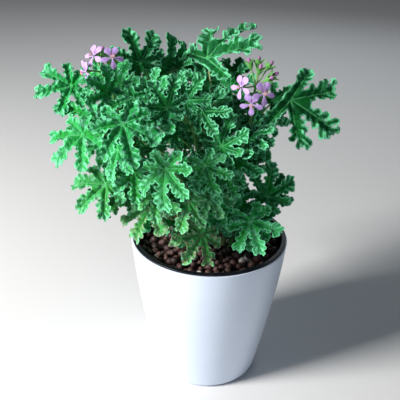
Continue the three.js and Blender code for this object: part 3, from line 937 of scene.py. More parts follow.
def spiral_leaf(item, stem, index):
    along = SPIRAL_BEGINS + SPIRAL_RUN * (index + 0.5) / item["more"]
    joint = stem.point(along)
    angle = math.radians(item["turn"] + GOLDEN_ANGLE * index)
    reach = np.array((math.cos(angle), math.sin(angle), 0.45)) + 0.35 * unit(stem.end - stem.bend)
    length, size = (most - loss * along for most, loss in (SPIRAL_REACH, SPIRAL_SIZE))
    at = joint + reach * length
    face = faced(at, *(FRONT_FACE if at[1] < BACK_BEGINS_Y else BACK_FACE))
    ahead = unit(unit(at - BUSH_MIDDLE) + 0.5 * reach - 0.35 * UP)
    return {"at": at, "ahead": ahead, "size": size, "face": face, "joint": joint}


def leaf_plan(item, stem):
    plan = [placed_leaf(one, stem) for one in item["leaves"]]
    return plan + [spiral_leaf(item, stem, index) for index in range(item["more"])]


print("first shoot carries", len(leaf_plan(SHOOTS[0], stem_sweep(SHOOTS[0]))), "large leaves")

# %% [markdown]
# ## Which way each leaf was bent
#
# In the frame, a leaf that would have cut through a neighbour was shrunk, swung or lifted a little. The
# results could be listed here leaf by leaf, but the frame itself tells them. The same short list of
# bends is tried, and the one whose blade tip is a corner of the frame's own solid is the one that was
# used.

# %% Bends to try
LEAST_DROOP, MORE_DROOP = 0.2, 0.14
LARGEST_ROLL = 30
SHRINKS = (1, 0.88, 0.76)
BEND_STEPS = 5
BEND_WAYS = 8
SWING_STEP = 6
LIFT_STEP = 4
FRAME_BLADE_THICK = 0.8
RISE, FOLD, FOLD_REACH = 0.12, 0.22, 0.22
TIP_MATCH = 0.3
LEAF_SEED_STEP = 7919


def bends():
    """Shrink, swing and lift of each bend, in the order in which they are tried."""
    for shrink in SHRINKS:
        for step in range(BEND_STEPS + 1):
            for way in range(BEND_WAYS if step else 1):
                angle = way * 2 * math.pi / BEND_WAYS
                yield shrink, SWING_STEP * step * math.cos(angle), LIFT_STEP * step * math.sin(angle)


def bent(item, shrink, swing, lift):
    at = turned_about(UP, item["at"] - item["joint"], swing) + item["joint"] + lift * UP
    return {**item, "at": at, "size": item["size"] * shrink,
            "ahead": turned_about(UP, item["ahead"], swing),
            "face": turned_about(UP, item["face"], swing)}


print(len(list(bends())), "bends to try")

# %% Find the bends


def blade_axes(item):
    side = unit(np.cross(item["face"], item["ahead"]))
    return item["ahead"], side, np.cross(item["ahead"], side)


def tip_corner(item):
    ahead, _, normal = blade_axes(item)
    rise = item["size"] * (RISE - item["droop"]) + FRAME_BLADE_THICK / 2
    return item["at"] + ahead * item["size"] + normal * rise


def corner_tree(node):
    corners = frame["nodes"][node].data.vertices
    tree = kdtree.KDTree(len(corners))
    for vertex in corners:
        tree.insert(vertex.co / MM, vertex.index)
    tree.balance()
    return tree


def fitted(item, tree):
    """The bend of a leaf whose tip lies nearest to a corner of the solid, and how far off it is."""
    misfits = []
    for bend in bends():
        tried = bent(item, *bend)
        misfit = tree.find(tip_corner(tried))[2]
        misfits.append((misfit, len(misfits), tried))
        if misfit < TIP_MATCH:
            break
    misfit, _, best = min(misfits, key=lambda row: row[:2])
    return best, misfit


def drooped(planned, serial):
    """A leaf's own droop and roll. The first draw of each row isn't used, so that each leaf gets the same
    draws as in the frame.
    """
    random = draws(serial * LEAF_SEED_STEP)
    next(random)
    droop = LEAST_DROOP + MORE_DROOP * next(random)
    roll = LARGEST_ROLL * (2 * next(random) - 1)
    return {**planned, "droop": droop, "face": turned_about(planned["ahead"], planned["face"], roll)}


serial = 0
for item in SHOOTS:
    item["stem"] = stem_sweep(item)
    item["blades"] = []
    corners = corner_tree(f"stem_{item['name']}")
    for planned in leaf_plan(item, item["stem"]):
        serial += 1
        best, misfit = fitted(drooped(planned, serial), corners)
        if misfit > TIP_MATCH:
            print(f"leaf {serial} of {item['name']} lies {misfit:.2f} mm off the frame")
        item["blades"].append(best)
print(serial, "leaves placed")

# %% [markdown]
# ## The outline of a leaf
#
# A citronella leaf is cut into lobes, the lobes into side lobes, and those end in blunt teeth. Its
# outline could be traced as one long curve, but then every leaf would be the same. Here it is drawn as
# many short bars with round ends, all melted together, much as the leaf's own veins each feed a strip of
# green, and small draws move the bars. A field tells how far any point lies from the melted bars, and
# the leaf is where the field is below zero.

# %% Sizes of lobes and teeth, for a leaf whose middle lobe is 1 long
FAN_LOBES = ((-95, 0.72), (-47, 0.94), (0, 1.00), (47, 0.94), (95, 0.72))
STAR_LOBES = ((-138, 0.56), *FAN_LOBES, (138, 0.56))
LONG_LOBE = 0.80
# Side lobes of long and short lobes: place along the lobe, length, opening angle, half width
LONG_SIDES = ((0.44, 0.150, 56, 0.050), (0.57, 0.215, 50, 0.053), (0.71, 0.265, 46, 0.053),
              (0.86, 0.180, 40, 0.046))
SHORT_SIDES = ((0.48, 0.140, 56, 0.048), (0.66, 0.205, 50, 0.051), (0.83, 0.155, 42, 0.045))
# Teeth: lean in degrees and length
SIDE_TEETH = ((-34, 0.052), (34, 0.050))
TIP_TEETH = ((-40, 0.085), (0, 0.105), (40, 0.085))
TOOTHED_RUN = 0.13
# Half widths at the start and at the end of a bar
LOBE_FOOT, LOBE_END = (0.122, 0.110), (0.110, 0.062)
SIDE_TOOTH, TIP_TOOTH = (0.032, 0.021), (0.030, 0.028)
PALM = ((0.0, 0.0), (0.15, 0.0), 0.16, 0.27, False)
MELT = 0.008
FAR_OUTSIDE = 9.0
print(len(FAN_LOBES), "lobes on a fan leaf,", len(STAR_LOBES), "on a star leaf")

# %% Bars of a leaf


def stepped(origin, degrees, distance):
    angle = math.radians(degrees)
    return origin[0] + distance * math.cos(angle), origin[1] + distance * math.sin(angle)


def side_bars(chance, turn, length, sign):
    """The side lobes on one side of a lobe, and their teeth."""
    for place, reach, opening, width in LONG_SIDES if length > LONG_LOBE else SHORT_SIDES:
        place += chance.uniform(-0.03, 0.03) + sign * 0.02
        start = stepped((0, 0), turn, length * place)
        way = turn + sign * (opening + chance.uniform(-8, 8))
        run = reach * length ** 0.6 * chance.uniform(0.8, 1.15)
        yield start, stepped(start, way, run), width * 1.1, width, True
        hub = stepped(start, way, run * 0.72)
        for lean, tooth in SIDE_TEETH if run > TOOTHED_RUN else ():
            tooth_way = way + lean + chance.uniform(-8, 8)
            tooth_run = 0.02 + tooth * chance.uniform(0.95, 1.3)
            yield hub, stepped(hub, tooth_way, tooth_run), *SIDE_TOOTH, False


def leaf_bars(seed, lobes):
    """Bars as start, end, half width at the start and at the end, and whether a vein runs in it."""
    chance = np.random.default_rng(seed)
    bars = [PALM]
    for turn, length in lobes:
        turn += chance.uniform(-6, 6)
        length *= chance.uniform(0.90, 1.05)
        foot, neck, end = (stepped((0, 0), turn, reach) for reach in (0.1, length * 0.42, length * 0.9))
        bars += [(foot, neck, *LOBE_FOOT, True), (neck, end, *LOBE_END, True)]
        for sign in (-1, 1):
            bars += side_bars(chance, turn, length, sign)
        bars += [(end, stepped(end, turn + lean, tooth), *TIP_TOOTH, False) for lean, tooth in TIP_TEETH]
    return bars


print("a star leaf is melted from", len(leaf_bars(3, STAR_LOBES)), "bars")

# %% The field of the bars


def along_bar(x, y, bar):
    """How far points lie from a bar's middle line, and how far along it they are."""
    (ax, ay), (bx, by) = bar[:2]
    span = (bx - ax) ** 2 + (by - ay) ** 2
    t = np.clip(((x - ax) * (bx - ax) + (y - ay) * (by - ay)) / span, 0, 1)
    return np.hypot(x - ax - t * (bx - ax), y - ay - t * (by - ay)), t


def vein_distance(x, y, bars):
    return np.min([along_bar(x, y, bar)[0] for bar in bars if bar[4]], axis=0)


def bar_field(x, y, bars):
    field = np.full(x.shape, FAR_OUTSIDE)
    for bar in bars:
        far, t = along_bar(x, y, bar)
        far = far - (bar[2] + (bar[3] - bar[2]) * t)
        share = np.clip(0.5 + 0.5 * (field - far) / MELT, 0, 1)
        field = field * (1 - share) + far * share - MELT * share * (1 - share)
    return field


print("field at the leaf's base:", bar_field(np.zeros(1), np.zeros(1), [PALM]).round(2))

# %% [markdown]
# ## Faces for the outline
#
# A square grid is laid over the field. Squares inside stay whole, and squares on the edge are cut where
# the field crosses zero. A curve filled with faces would also work, but it gives long slivers that bend
# badly. A grid corner that lies close to the edge moves onto it, so no sliver is left here. The result
# is doubled into an upper and a lower sheet with a rim between them, which makes a closed body.

# %% Cut a flat pattern out of a grid
SNAP = 0.3
LEAST_SLOPE = 0.25


class Grid:
    """A square grid over a field, cut along the field's zero line."""

    def __init__(self, field_at, cell, low, high):
        columns = [np.arange(low[axis], high[axis] + cell, cell) for axis in (0, 1)]
        x, y = np.meshgrid(*columns, indexing="ij")
        self.value = field_at(x, y)
        slope = np.gradient(self.value, cell)
        steep = np.maximum(slope[0] ** 2 + slope[1] ** 2, LEAST_SLOPE)
        near = np.abs(self.value) < SNAP * cell
        x = np.where(near, x - self.value * slope[0] / steep, x)
        y = np.where(near, y - self.value * slope[1] / steep, y)
        self.value = np.where(near, 0.0, self.value)
        self.x, self.y = x, y
        self.points, self.index, self.faces = [], {}, []
        for i in range(x.shape[0] - 1):
            for j in range(x.shape[1] - 1):
                self.cut((i, j), (i + 1, j), (i + 1, j + 1), (i, j + 1))

    def corner(self, key, place):
        if key not in self.index:
            self.index[key] = len(self.points)
            self.points.append(place)
        return self.index[key]

    def cut(self, *square):
        values = [self.value[node] for node in square]
        if min(values) >= 0:
            return
        ring = []
        for k, node in enumerate(square):
            after = square[(k + 1) % 4]
            here, there = values[k], values[(k + 1) % 4]
            if here <= 0:
                ring.append(self.corner(node, (self.x[node], self.y[node])))
            if here * there < 0:
                t = here / (here - there)
                place = tuple((1 - t) * axis[node] + t * axis[after] for axis in (self.x, self.y))
                ring.append(self.corner(frozenset((node, after)), place))
        self.fan(ring)

    def fan(self, ring):
        if len(ring) == 4:
            a, b, c, d = (np.array(self.points[k]) for k in ring)
            if np.linalg.norm(a - c) > np.linalg.norm(b - d):
                ring = ring[1:] + ring[:1]
        for k in range(1, len(ring) - 1):
            self.faces.append((ring[0], ring[k], ring[k + 1]))


def sheet_faces(faces, count):
    """Upper sheet, lower sheet and the rim between them, and how many faces the rim has."""
    directed = {(f[k], f[(k + 1) % 3]) for f in faces for k in range(3)}
    rim = [(b, a, a + count, b + count) for a, b in directed if (b, a) not in directed]
    lower = [(c + count, b + count, a + count) for a, b, c in faces]
    return list(faces) + lower + sorted(rim), len(rim)


print("a lone triangle gets", len(sheet_faces([(0, 1, 2)], 3)[0]), "faces")

# %% [markdown]
# ## Patterns
#
# A pattern is a flat, closed sheet with marks on it: where each corner lies on the flat leaf, which of
# the two sheets it belongs to, how deep inside the margin it lies and how far it is from a vein. Every
# leaf could have a pattern of its own, but no two are bent alike, so a few serve them all: one fan for
# the largest leaves, three large stars, three small ones and a tiny leaf, then a stipule, a sepal and
# the flower's five petals.

# %% Marks and the map of lobes
PATTERNS = bpy.data.collections.new("patterns")
kinds = {}


def lobe_frame(x, y, lobes):
    """How far off the nearest lobe lies, and the shares along and across it."""
    best = None
    for turn, length in lobes:
        angle = math.radians(turn)
        along = x * math.cos(angle) + y * math.sin(angle)
        across = y * math.cos(angle) - x * math.sin(angle)
        off = abs(across) if along > 0 else 1 + math.hypot(x, y)
        if best is None or off < best[0]:
            best = (off, along / length, across / length)
    return best


def map_lobes(mesh, flat, lobes):
    """Writes the map. All corners of a face read the same lobe, so that no face spans two."""
    uv = mesh.attributes.new("lobe", "FLOAT2", "CORNER")
    for face in mesh.polygons:
        corners = [flat[v % len(flat)] for v in face.vertices]
        middle = np.mean(corners, axis=0)
        nearest = min(lobes, key=lambda lobe: lobe_frame(*middle, (lobe,))[0])
        for loop, (x, y) in zip(face.loop_indices, corners):
            uv.data[loop].vector = lobe_frame(x, y, (nearest,))[1:]


def sharpen(mesh, rim_faces):
    """Keeps the edges between the rim and the two sheets sharp."""
    keys = {tuple(sorted(pair)) for a, b, c, d in rim_faces for pair in ((a, b), (c, d))}
    sharp = mesh.attributes.new("sharp_edge", "BOOLEAN", "EDGE")
    for edge in mesh.edges:
        sharp.data[edge.index].value = tuple(sorted(edge.vertices)) in keys


def add_pattern(name, flat, faces, lobes, rims, veins, spots):
    both, rim_count = sheet_faces(faces, len(flat))
    sheets = [(x, y, side) for side in (1, -1) for x, y in flat]
    folds = [min(lobe_frame(x, y, lobes)[0], 1) for x, y in flat]
    thing = mesh_object(f"pattern_{len(kinds):02d}_{name}", sheets, both, None, {
        "flat": sheets, "rim": list(rims) * 2, "fold": folds * 2, "vein": list(veins) * 2,
        "spot": list(spots) * 2})
    map_lobes(thing.data, flat, lobes)
    sharpen(thing.data, both[-rim_count:])
    bpy.context.scene.collection.objects.unlink(thing)
    PATTERNS.objects.link(thing)
    kinds[name] = len(kinds)
    print(f"{name} pattern: {triangles(thing)} triangles")


# %% Patterns of leaves
LEAF_LOW, LEAF_HIGH = (-0.62, -0.86), (1.1, 0.86)
FAN_CELL, STAR_CELL, SMALL_CELL, TINY_CELL = 0.031, 0.033, 0.054, 0.085
FAN_SEED, LARGE_SEEDS, SMALL_SEEDS, TINY_SEED = 3, (11, 24, 37), (5, 16, 29), 8


def leaf_grid(bars, cell):
    return Grid(lambda x, y: bar_field(x, y, bars), cell, LEAF_LOW, LEAF_HIGH)


def leaf_pattern(name, seed, cell, lobes):
    bars = leaf_bars(seed, lobes)
    grid = leaf_grid(bars, cell)
    x, y = np.array(grid.points).T
    rims = np.maximum(-bar_field(x, y, bars), 0)
    add_pattern(name, grid.points, grid.faces, lobes, rims, vein_distance(x, y, bars), [0.0] * len(x))


leaf_pattern("fan", FAN_SEED, FAN_CELL, FAN_LOBES)
for index, seed in enumerate(LARGE_SEEDS):
    leaf_pattern(f"large_{index}", seed, STAR_CELL, STAR_LOBES)
for index, seed in enumerate(SMALL_SEEDS):
    leaf_pattern(f"small_{index}", seed, SMALL_CELL, STAR_LOBES)
leaf_pattern("tiny", TINY_SEED, TINY_CELL, FAN_LOBES)

# %% Patterns of stipules, sepals and petals
PETAL_LENGTH = 9.3
# Turn and width of each petal, and the half width along all of them
PETAL_TURNS = ((-104, 4.4), (-27, 5.7), (27, 5.7), (104, 4.4), (180, 4.4))
PETAL_WIDTHS = ((0.0, 0.10), (0.12, 0.10), (0.35, 0.22), (0.55, 0.40), (0.75, 0.50), (0.90, 0.44),
                (1.0, 0.26))
STIPULE_WIDTHS = ((0, 0.30), (0.4, 0.22), (1, 0.02))
SEPAL_WIDTHS = ((0, 0.18), (0.35, 0.23), (0.75, 0.12), (1, 0.01))
ROUND_END = 0.07
UPPER_PETAL_TURN = 40


def strip_pattern(name, strips, rows, columns):
    """Long strips from the middle: turn, half widths as (place, width), foot and spot."""
    flat, faces, rims, spots = [], [], [], []
    for turn, widths, foot, spot in strips:
        start = len(flat)
        places, sizes = zip(*widths)
        for u in np.linspace(foot, 1, rows):
            half = np.interp(u, places, sizes)
            for v in np.linspace(-1, 1, columns):
                x, y = stepped((0, 0), turn, u - ROUND_END * v * v * u * u)
                flat.append((x - half * v * math.sin(math.radians(turn)),
                             y + half * v * math.cos(math.radians(turn))))
                rims.append(min(half * (1 - abs(v)), 1 - u))
                spots.append(spot)
        for i in range(rows - 1):
            for j in range(columns - 1):
                a = start + i * columns + j
                faces += [(a, a + columns, a + columns + 1), (a, a + columns + 1, a + 1)]
    lobes = [(strip[0], 1.0) for strip in strips]
    add_pattern(name, flat, faces, lobes, rims, [1.0] * len(flat), spots)


def petal_strips():
    for turn, width in PETAL_TURNS:
        widths = [(place, half * width / PETAL_LENGTH) for place, half in PETAL_WIDTHS]
        yield turn, widths, 0.06, float(abs(turn) < UPPER_PETAL_TURN)


strip_pattern("stipule", [(0, STIPULE_WIDTHS, 0.0, 0)], 4, 3)
strip_pattern("sepal", [(0, SEPAL_WIDTHS, 0.0, 0)], 7, 5)
strip_pattern("petals", list(petal_strips()), 13, 9)
print(len(kinds), "patterns")

# %% [markdown]
# ## Laying patterns in space
#
# On the plant no blade is flat: it rises from its stalk, droops at its end, folds along its veins, puffs
# up between them and has a crisp margin. Bending each mesh in a loop would do, but one geometry tree
# lays them all. Each host point is a leaf's base and carries its directions and size. The tree puts the
# chosen pattern on every point and moves each corner to its place: ahead and aside as on the flat leaf,
# and upward by the sum of those bends. Noise read at the leaf's own phase makes each one different, and
# the same tree lays sepals and petals.

# %% The height of a blade
PHASE_STEP = 40.0
LOBE_NOISE, TURN_NOISE, CRISP_NOISE, RIPPLE_NOISE = (1.6, 0.0), (1.3, 7.0), (7.5, 3.0), (13.0, 11.0)
CURL_BEGINS = 0.25
MARGIN_DEPTH = 0.09
PUFF_REACH = 0.06


class Blade:
    """The fields from which the tree bends a flat blade."""

    def __init__(self, shape):
        self.shape = shape
        self.x, self.y, self.sheet = shape.node("ShaderNodeSeparateXYZ", None, {
            "Vector": shape.mark("flat", "FLOAT_VECTOR")}, ("X", "Y", "Z"))
        self.phase, self.rim = shape.mark("phase"), shape.mark("rim")
        self.far = shape.math("SQRT", self.x * self.x + self.y * self.y)
        self.inverse = 1.0 / shape.most(self.far, 0.001)
        self.outer = shape.most(self.far - CURL_BEGINS, 0.0)

    def wander(self, px, py, kind):
        """Noise between -1 and 1 that is different on every leaf."""
        scale, seed = kind
        place = self.shape.node("ShaderNodeCombineXYZ", None, {
            "X": px * scale, "Y": py * scale, "Z": self.phase * PHASE_STEP + seed})
        return self.shape.noise(place, 1.0, 1.0) * 2.0 - 1.0

    def swirl(self):
        """How far a lobe swings aside. Noise by direction alone keeps each lobe in one piece."""
        noise = self.wander(self.x * self.inverse, self.y * self.inverse, TURN_NOISE)
        return noise * self.shape.given("Swirl") * self.outer

    def height(self):
        shape, far = self.shape, self.far
        given, mark = shape.given, shape.mark
        lobe_noise = self.wander(self.x * self.inverse, self.y * self.inverse, LOBE_NOISE)
        crisp_noise = self.wander(self.x, self.y, CRISP_NOISE)
        ripple = self.wander(self.x, self.y, RIPPLE_NOISE)
        puff = shape.ease(mark("vein"), 0.0, PUFF_REACH) * shape.ease(self.rim, -0.03, 0.03)
        height = given("Rise") * far - mark("droop") * far * far
        height += given("Fold") * shape.least(mark("fold"), given("Fold_Reach"))
        height += mark("curl") * given("Curl") * (lobe_noise * self.outer * self.outer)
        height += given("Crisp") * crisp_noise * shape.ease(self.rim, MARGIN_DEPTH, 0.0)
        return height + given("Quilt") * puff + given("Ripple") * ripple


print("blades can be bent")

# %% The tree that lays blades


def lay_blades_tree():
    shape = Shape("lay_blades", Patterns="NodeSocketCollection", Finish="NodeSocketMaterial",
                  Thickness=0.0005, Rise=RISE, Fold=0.56, Fold_Reach=0.15, Quilt=0.030, Crisp=0.130,
                  Ripple=0.028, Curl=0.45, Swirl=0.22)
    host = shape.store(shape.host, "foot", shape.node("GeometryNodeInputPosition"), "FLOAT_VECTOR")
    patterns = shape.node("GeometryNodeCollectionInfo", None, {
        "Collection": shape.given("Patterns"), "Separate Children": True, "Reset Children": True})
    laid = shape.realize(shape.on_points(host, {
        "Instance": patterns, "Pick Instance": True, "Instance Index": shape.mark("kind")}))
    blade = Blade(shape)
    size, swirl = shape.mark("size"), blade.swirl()
    steps = {
        "ahead": size * (blade.x - blade.y * swirl),
        "side": size * (blade.y + blade.x * swirl),
        "normal": size * blade.height() + blade.sheet * shape.given("Thickness") * 0.5,
    }
    place = shape.mark("foot", "FLOAT_VECTOR")
    for direction, amount in steps.items():
        step = shape.vector("SCALE", shape.mark(direction, "FLOAT_VECTOR"), amount)
        place = shape.vector("ADD", place, step)
    moved = shape.node("GeometryNodeSetPosition", None, {"Geometry": laid, "Position": place})
    shape.end(shape.store(moved, "under", blade.sheet * -0.5 + 0.5))
    return shape


LAY_BLADES = lay_blades_tree()
print("blade tree with inputs", list(LAY_BLADES.keys))

# %% [markdown]
# ## Stalks
#
# Woody stems, leaf stalks, flower cups and swelling buds are all round along a line, and differ only in
# how thick they are from point to point. Each could be turned on the lathe and bent, but a ring swept
# along a curve follows any bend by itself. The ring's size is read from the line's own points.

# %% The tree that sweeps stalks


def sweep_tree():
    shape = Shape("sweep_stalks", Finish="NodeSocketMaterial", Sides=8)
    curve = shape.node("GeometryNodeMeshToCurve", None, {"Mesh": shape.host})
    ring = shape.node("GeometryNodeCurvePrimitiveCircle", {"mode": "RADIUS"}, {
        "Resolution": shape.given("Sides"), "Radius": 1.0})
    shape.end(shape.node("GeometryNodeCurveToMesh", None, {
        "Curve": curve, "Profile Curve": ring, "Scale": shape.mark("thick"), "Fill Caps": True}))
    return shape


SWEEP_STALKS = sweep_tree()
print("stalk tree with inputs", list(SWEEP_STALKS.keys))

# %% [markdown]
# ## Hairs
#
# Fine hairs on leaves and stalks make the plant look dusty and pale against the light. A particle system
# could grow them, but the finished piece must be plain faces, so the tree scatters short spikes. They
# stand thickest along the margins. Each is a three-sided spike, far too fine to need more.

# %% The tree that grows hairs
BARE_DEPTH, HAIRY_DEPTH = 0.05, 0.02
LEAST_LEAN, MOST_LEAN = (-0.5, -0.5, -0.3), (0.5, 0.5, 0.7)
HAIR_SCALES = (0.55, 1.2)


def hair_tree():
    shape = Shape("coat_of_hairs", Finish="NodeSocketMaterial", Density=100000.0, Inner_Share=0.1,
                  Length=0.0012, Width=0.00006, Seed=1)
    seed = shape.given("Seed")
    share = shape.ease(shape.mark("rim"), BARE_DEPTH, HAIRY_DEPTH, shape.given("Inner_Share"), 1.0)
    points, normal = shape.node("GeometryNodeDistributePointsOnFaces", {"distribute_method": "RANDOM"}, {
        "Mesh": shape.host, "Density": shape.given("Density") * share, "Seed": seed},
        ("Points", "Normal"))
    lean = shape.random(LEAST_LEAN, MOST_LEAN, seed)
    rotation = shape.node("FunctionNodeAlignRotationToVector", {"axis": "Z"}, {
        "Vector": shape.vector("ADD", normal, lean)})
    spike = shape.node("GeometryNodeMeshCone", {"fill_type": "TRIANGLE_FAN"}, {
        "Vertices": 3, "Side Segments": 1, "Radius Top": 0.0, "Radius Bottom": shape.given("Width"),
        "Depth": shape.given("Length")}, "Mesh")
    shape.end(shape.on_points(points, {
        "Instance": spike, "Rotation": rotation, "Scale": shape.random(*HAIR_SCALES, seed)}), False)
    return shape


COAT_OF_HAIRS = hair_tree()
print("hair tree with inputs", list(COAT_OF_HAIRS.keys))

# %% [markdown]
# ## Room for young leaves
#
# Young leaves crowd between the large ones on the real plant, yet each finds its own light. They could
# be scattered at random and left to run through each other, but that shows from near. So a new leaf is
# kept only where it stays clear of all that stands already, and inside the frame's box.

# %% Test points on what stands
SAMPLE_CELL = 0.12
SAMPLE_SEED = 3
SAMPLE_FLAT = np.array(leaf_grid(leaf_bars(SAMPLE_SEED, STAR_LOBES), SAMPLE_CELL).points)
SAMPLE_FOLD = np.array([min(lobe_frame(x, y, STAR_LOBES)[0], FOLD_REACH) for x, y in SAMPLE_FLAT])
STEM_SAMPLES = 40
# How many points a stalk is tested at, and how many of them, near the stem, are left out
OLD_STALK_SAMPLES, YOUNG_STALK_SAMPLES = (12, 3), (8, 4)
standing = []


def blade_samples(item):
    ahead, side, normal = blade_axes(item)
    x, y = SAMPLE_FLAT.T
    far = np.hypot(x, y)
    height = RISE * far - item["droop"] * far ** 2 + FOLD * SAMPLE_FOLD
    offset = np.outer(x, ahead) + np.outer(y, side) + np.outer(height, normal)
    return item["at"] + item["size"] * offset


def stalk_samples(item, count, left_out):
    return np.array(stalk_sweep(item).points(count)[left_out:])


def stand(item):
    standing.append(blade_samples(item))
    standing.append(stalk_samples(item, *OLD_STALK_SAMPLES))


for item in SHOOTS:
    standing.append(np.array(item["stem"].points(STEM_SAMPLES)))
    for blade in item["blades"]:
        blade["age"] = 0.95 - 0.25 * (blade["at"][2] - 160) / 130 - max(blade["at"][0], 0) / 250
        stand(blade)
print(len(SAMPLE_FLAT), "test points on each blade, and", len(standing), "stems, blades and stalks stand")

# %% Which places are clear
KEPT_LOW, KEPT_HIGH = (np.array(corner) / MM for corner in cad_box)
OPEN_CORNER = ((22, 54), (180, 216))
SIGHT_FALL, SIGHT_FROM = 0.443, -20
NEAR_ENOUGH = 48
STALK_ROOM = 0.7


def in_open_corner(place):
    """The plant is open, as seen from the front, between its lowest right leaves and those above."""
    seen = (place[0], place[2] + SIGHT_FALL * (place[1] - SIGHT_FROM))
    return all(low < value < high for value, (low, high) in zip(seen, OPEN_CORNER))


def is_clear(item, gap):
    blade = blade_samples(item)
    if (blade < KEPT_LOW).any() or (blade > KEPT_HIGH).any() or in_open_corner(blade.mean(axis=0)):
        return False
    stalk = stalk_samples(item, *YOUNG_STALK_SAMPLES)
    for other in standing:
        if np.linalg.norm(other.mean(axis=0) - item["at"]) > item["size"] * 1.2 + NEAR_ENOUGH:
            continue
        for mine, room in ((blade, gap), (stalk, gap * STALK_ROOM)):
            squares = ((mine[:, None, :] - other[None, :, :]) ** 2).sum(axis=2)
            if squares.min() < room ** 2:
                return False
    return True


print("room looked for between", KEPT_LOW.round(), "and", KEPT_HIGH.round(), "mm")

# %% [markdown]
# ## Young leaves between the large ones
#
# Small leaves fill the plant between the large ones, and each shoot ends in a tuft of leaves that are
# still cupped. Placing them one by one would take hundreds of numbers, and on the real plant they follow
# the spiral too, so each shoot tries them by rule and keeps those that find room. Two places are tried
# first, because the plant would be see-through there.

# %% Plan the young leaves
BETWEEN_TRIES, BETWEEN_GAP = 60, 1.3
TUFT_TRIES, TUFT_GAP = 9, 0.9
GOLDEN_SHARE = 0.618
YOUNG_SEED, YOUNG_SEED_STEP = 4001, 613
# Places to fill: shoot, nearest place, and the way into the depth along the line of sight
THIN_PLACES = (
    ("top_mid", (-22, 20, 217), (-0.03, 1, -0.40)),
    ("back_left", (-68, 20, 221), (-0.12, 1, -0.39)),
)
THIN_DEPTHS = range(0, 66, 6)
FILLING = {"size": 16, "age": 0.5, "droop": 0.15, "upright": 0.2}


def young_leaf(joint, way, length, size, age, droop, upright):
    at = joint + length * way
    to_sun = 0.8 if at[1] < BACK_BEGINS_Y else 0.2
    ahead = unit(0.8 * unit(at - BUSH_MIDDLE) + way + (0.5 * upright - 0.3) * UP)
    return {"at": at, "ahead": ahead, "size": size, "face": faced(at, to_sun, 0.5, 0.2 + upright),
            "joint": joint, "age": age, "droop": droop}


def filling_leaves(item):
    for name, start, inward in THIN_PLACES:
        for depth in THIN_DEPTHS if item["name"] == name else ():
            at = np.array(start) + depth * np.array(inward)
            joint = joint_for(at, item["stem"])
            length = np.linalg.norm(at - joint)
            yield young_leaf(joint, unit(at - joint), length, **FILLING), TUFT_GAP


def young_leaves(item, index):
    """Leaves between the large ones along the shoot, then the tuft at its tip."""
    random = draws(YOUNG_SEED + index * YOUNG_SEED_STEP)
    stem = item["stem"]
    rise = unit(stem.end - stem.bend)

    def drawn(low, more):
        return low + more * next(random)

    def way(k, turn, lift, along_stem):
        around = turned_about(UP, (1, 0, 0), GOLDEN_ANGLE * k + drawn(0, turn))
        return unit(around + drawn(*lift) * UP + along_stem * rise)

    for k in range(BETWEEN_TRIES):
        joint = stem.point(0.36 + 0.62 * ((k * GOLDEN_SHARE) % 1))
        yield young_leaf(joint, way(k, 90, (0.1, 0.8), 0.4), drawn(13, 20), drawn(13, 9),
                         drawn(0.25, 0.4), drawn(0.12, 0.15), 0.2), BETWEEN_GAP
    for k in range(TUFT_TRIES):
        outward = way(k, 60, (0.5, 0.9), 0.8)
        yield young_leaf(stem.point(drawn(0.93, 0.06)), outward, drawn(4, 9), drawn(6, 6),
                         drawn(0, 0.2), drawn(-0.05, 0.1), 0.8), TUFT_GAP


extra = 0
for index, item in enumerate(SHOOTS):
    for young, gap in (*filling_leaves(item), *young_leaves(item, index)):
        if is_clear(young, gap):
            stand(young)
            item["blades"].append(young)
            extra += 1
print(extra, "young leaves found room")

# %% [markdown]
# ## Finishes of flowers and soil
#
# The petals are lilac and paler towards the throat, and the two upper ones carry purple streaks that
# lead there. Streaks could be painted, but the map that draws the veins of a leaf also says how far
# along and across each petal a point lies. The granules are fired clay balls: dusty, dark reddish brown,
# and each one a little different by a mark that was drawn for it. A few are white.

# %% Flower finishes
STREAKS = 38.0
STREAK_PURPLE = (0.19, 0.02, 0.22)


def petal_finish(name, deep, pale, throat):
    finish = Finish(name, ior=1.40, subsurface_weight=0.15, subsurface_scale=0.002,
                    subsurface_radius=(0.8, 0.5, 0.9), sheen_weight=0.2, sheen_roughness=0.4)
    along, across = finish.lobe()
    fan = abs(across) / finish.most(along, 0.05)
    streak = finish.ease(finish.math("SINE", fan * STREAKS), 0.1, 0.8) * finish.ease(along, 0.62, 0.30)
    streak = streak * finish.ease(along, 0.05, 0.15) * finish.mark("spot")
    cloud = finish.noise(finish.place, 600.0, 2.0)
    lilac = finish.blend(cloud, deep, pale)
    lilac = finish.blend(finish.ease(along, 0.30, 0.0) * 0.7, lilac, throat)
    finish.give("Base Color", finish.blend(streak * 0.85, lilac, STREAK_PURPLE))
    finish.give("Roughness", 0.48 + 0.1 * cloud)
    return finish


PETAL_LILAC = petal_finish("petal_lilac", (0.42, 0.26, 0.66), (0.60, 0.42, 0.82), (0.86, 0.77, 0.90))
BUD_MAUVE = petal_finish("bud_mauve", (0.32, 0.12, 0.30), (0.50, 0.30, 0.50), (0.38, 0.16, 0.34))
ANTHER_ORANGE = Finish("anther_orange", roughness=0.7)
ANTHER_ORANGE.drift((2000.0, 2.0), (0.75, 0.22, 0.06), (0.80, 0.42, 0.20))
print("flower finishes ready")

# %% Soil finishes
WHITE_GRANULES = (0.955, 0.960)


def soil_finish():
    finish = Finish("soil_dark")
    crumb = finish.drift((500.0, 5.0, 0.7), (0.010, 0.006, 0.005), (0.050, 0.028, 0.020))
    finish.give("Roughness", 0.85 + 0.12 * crumb)
    finish.bump(crumb, 0.8, 0.001)
    return finish


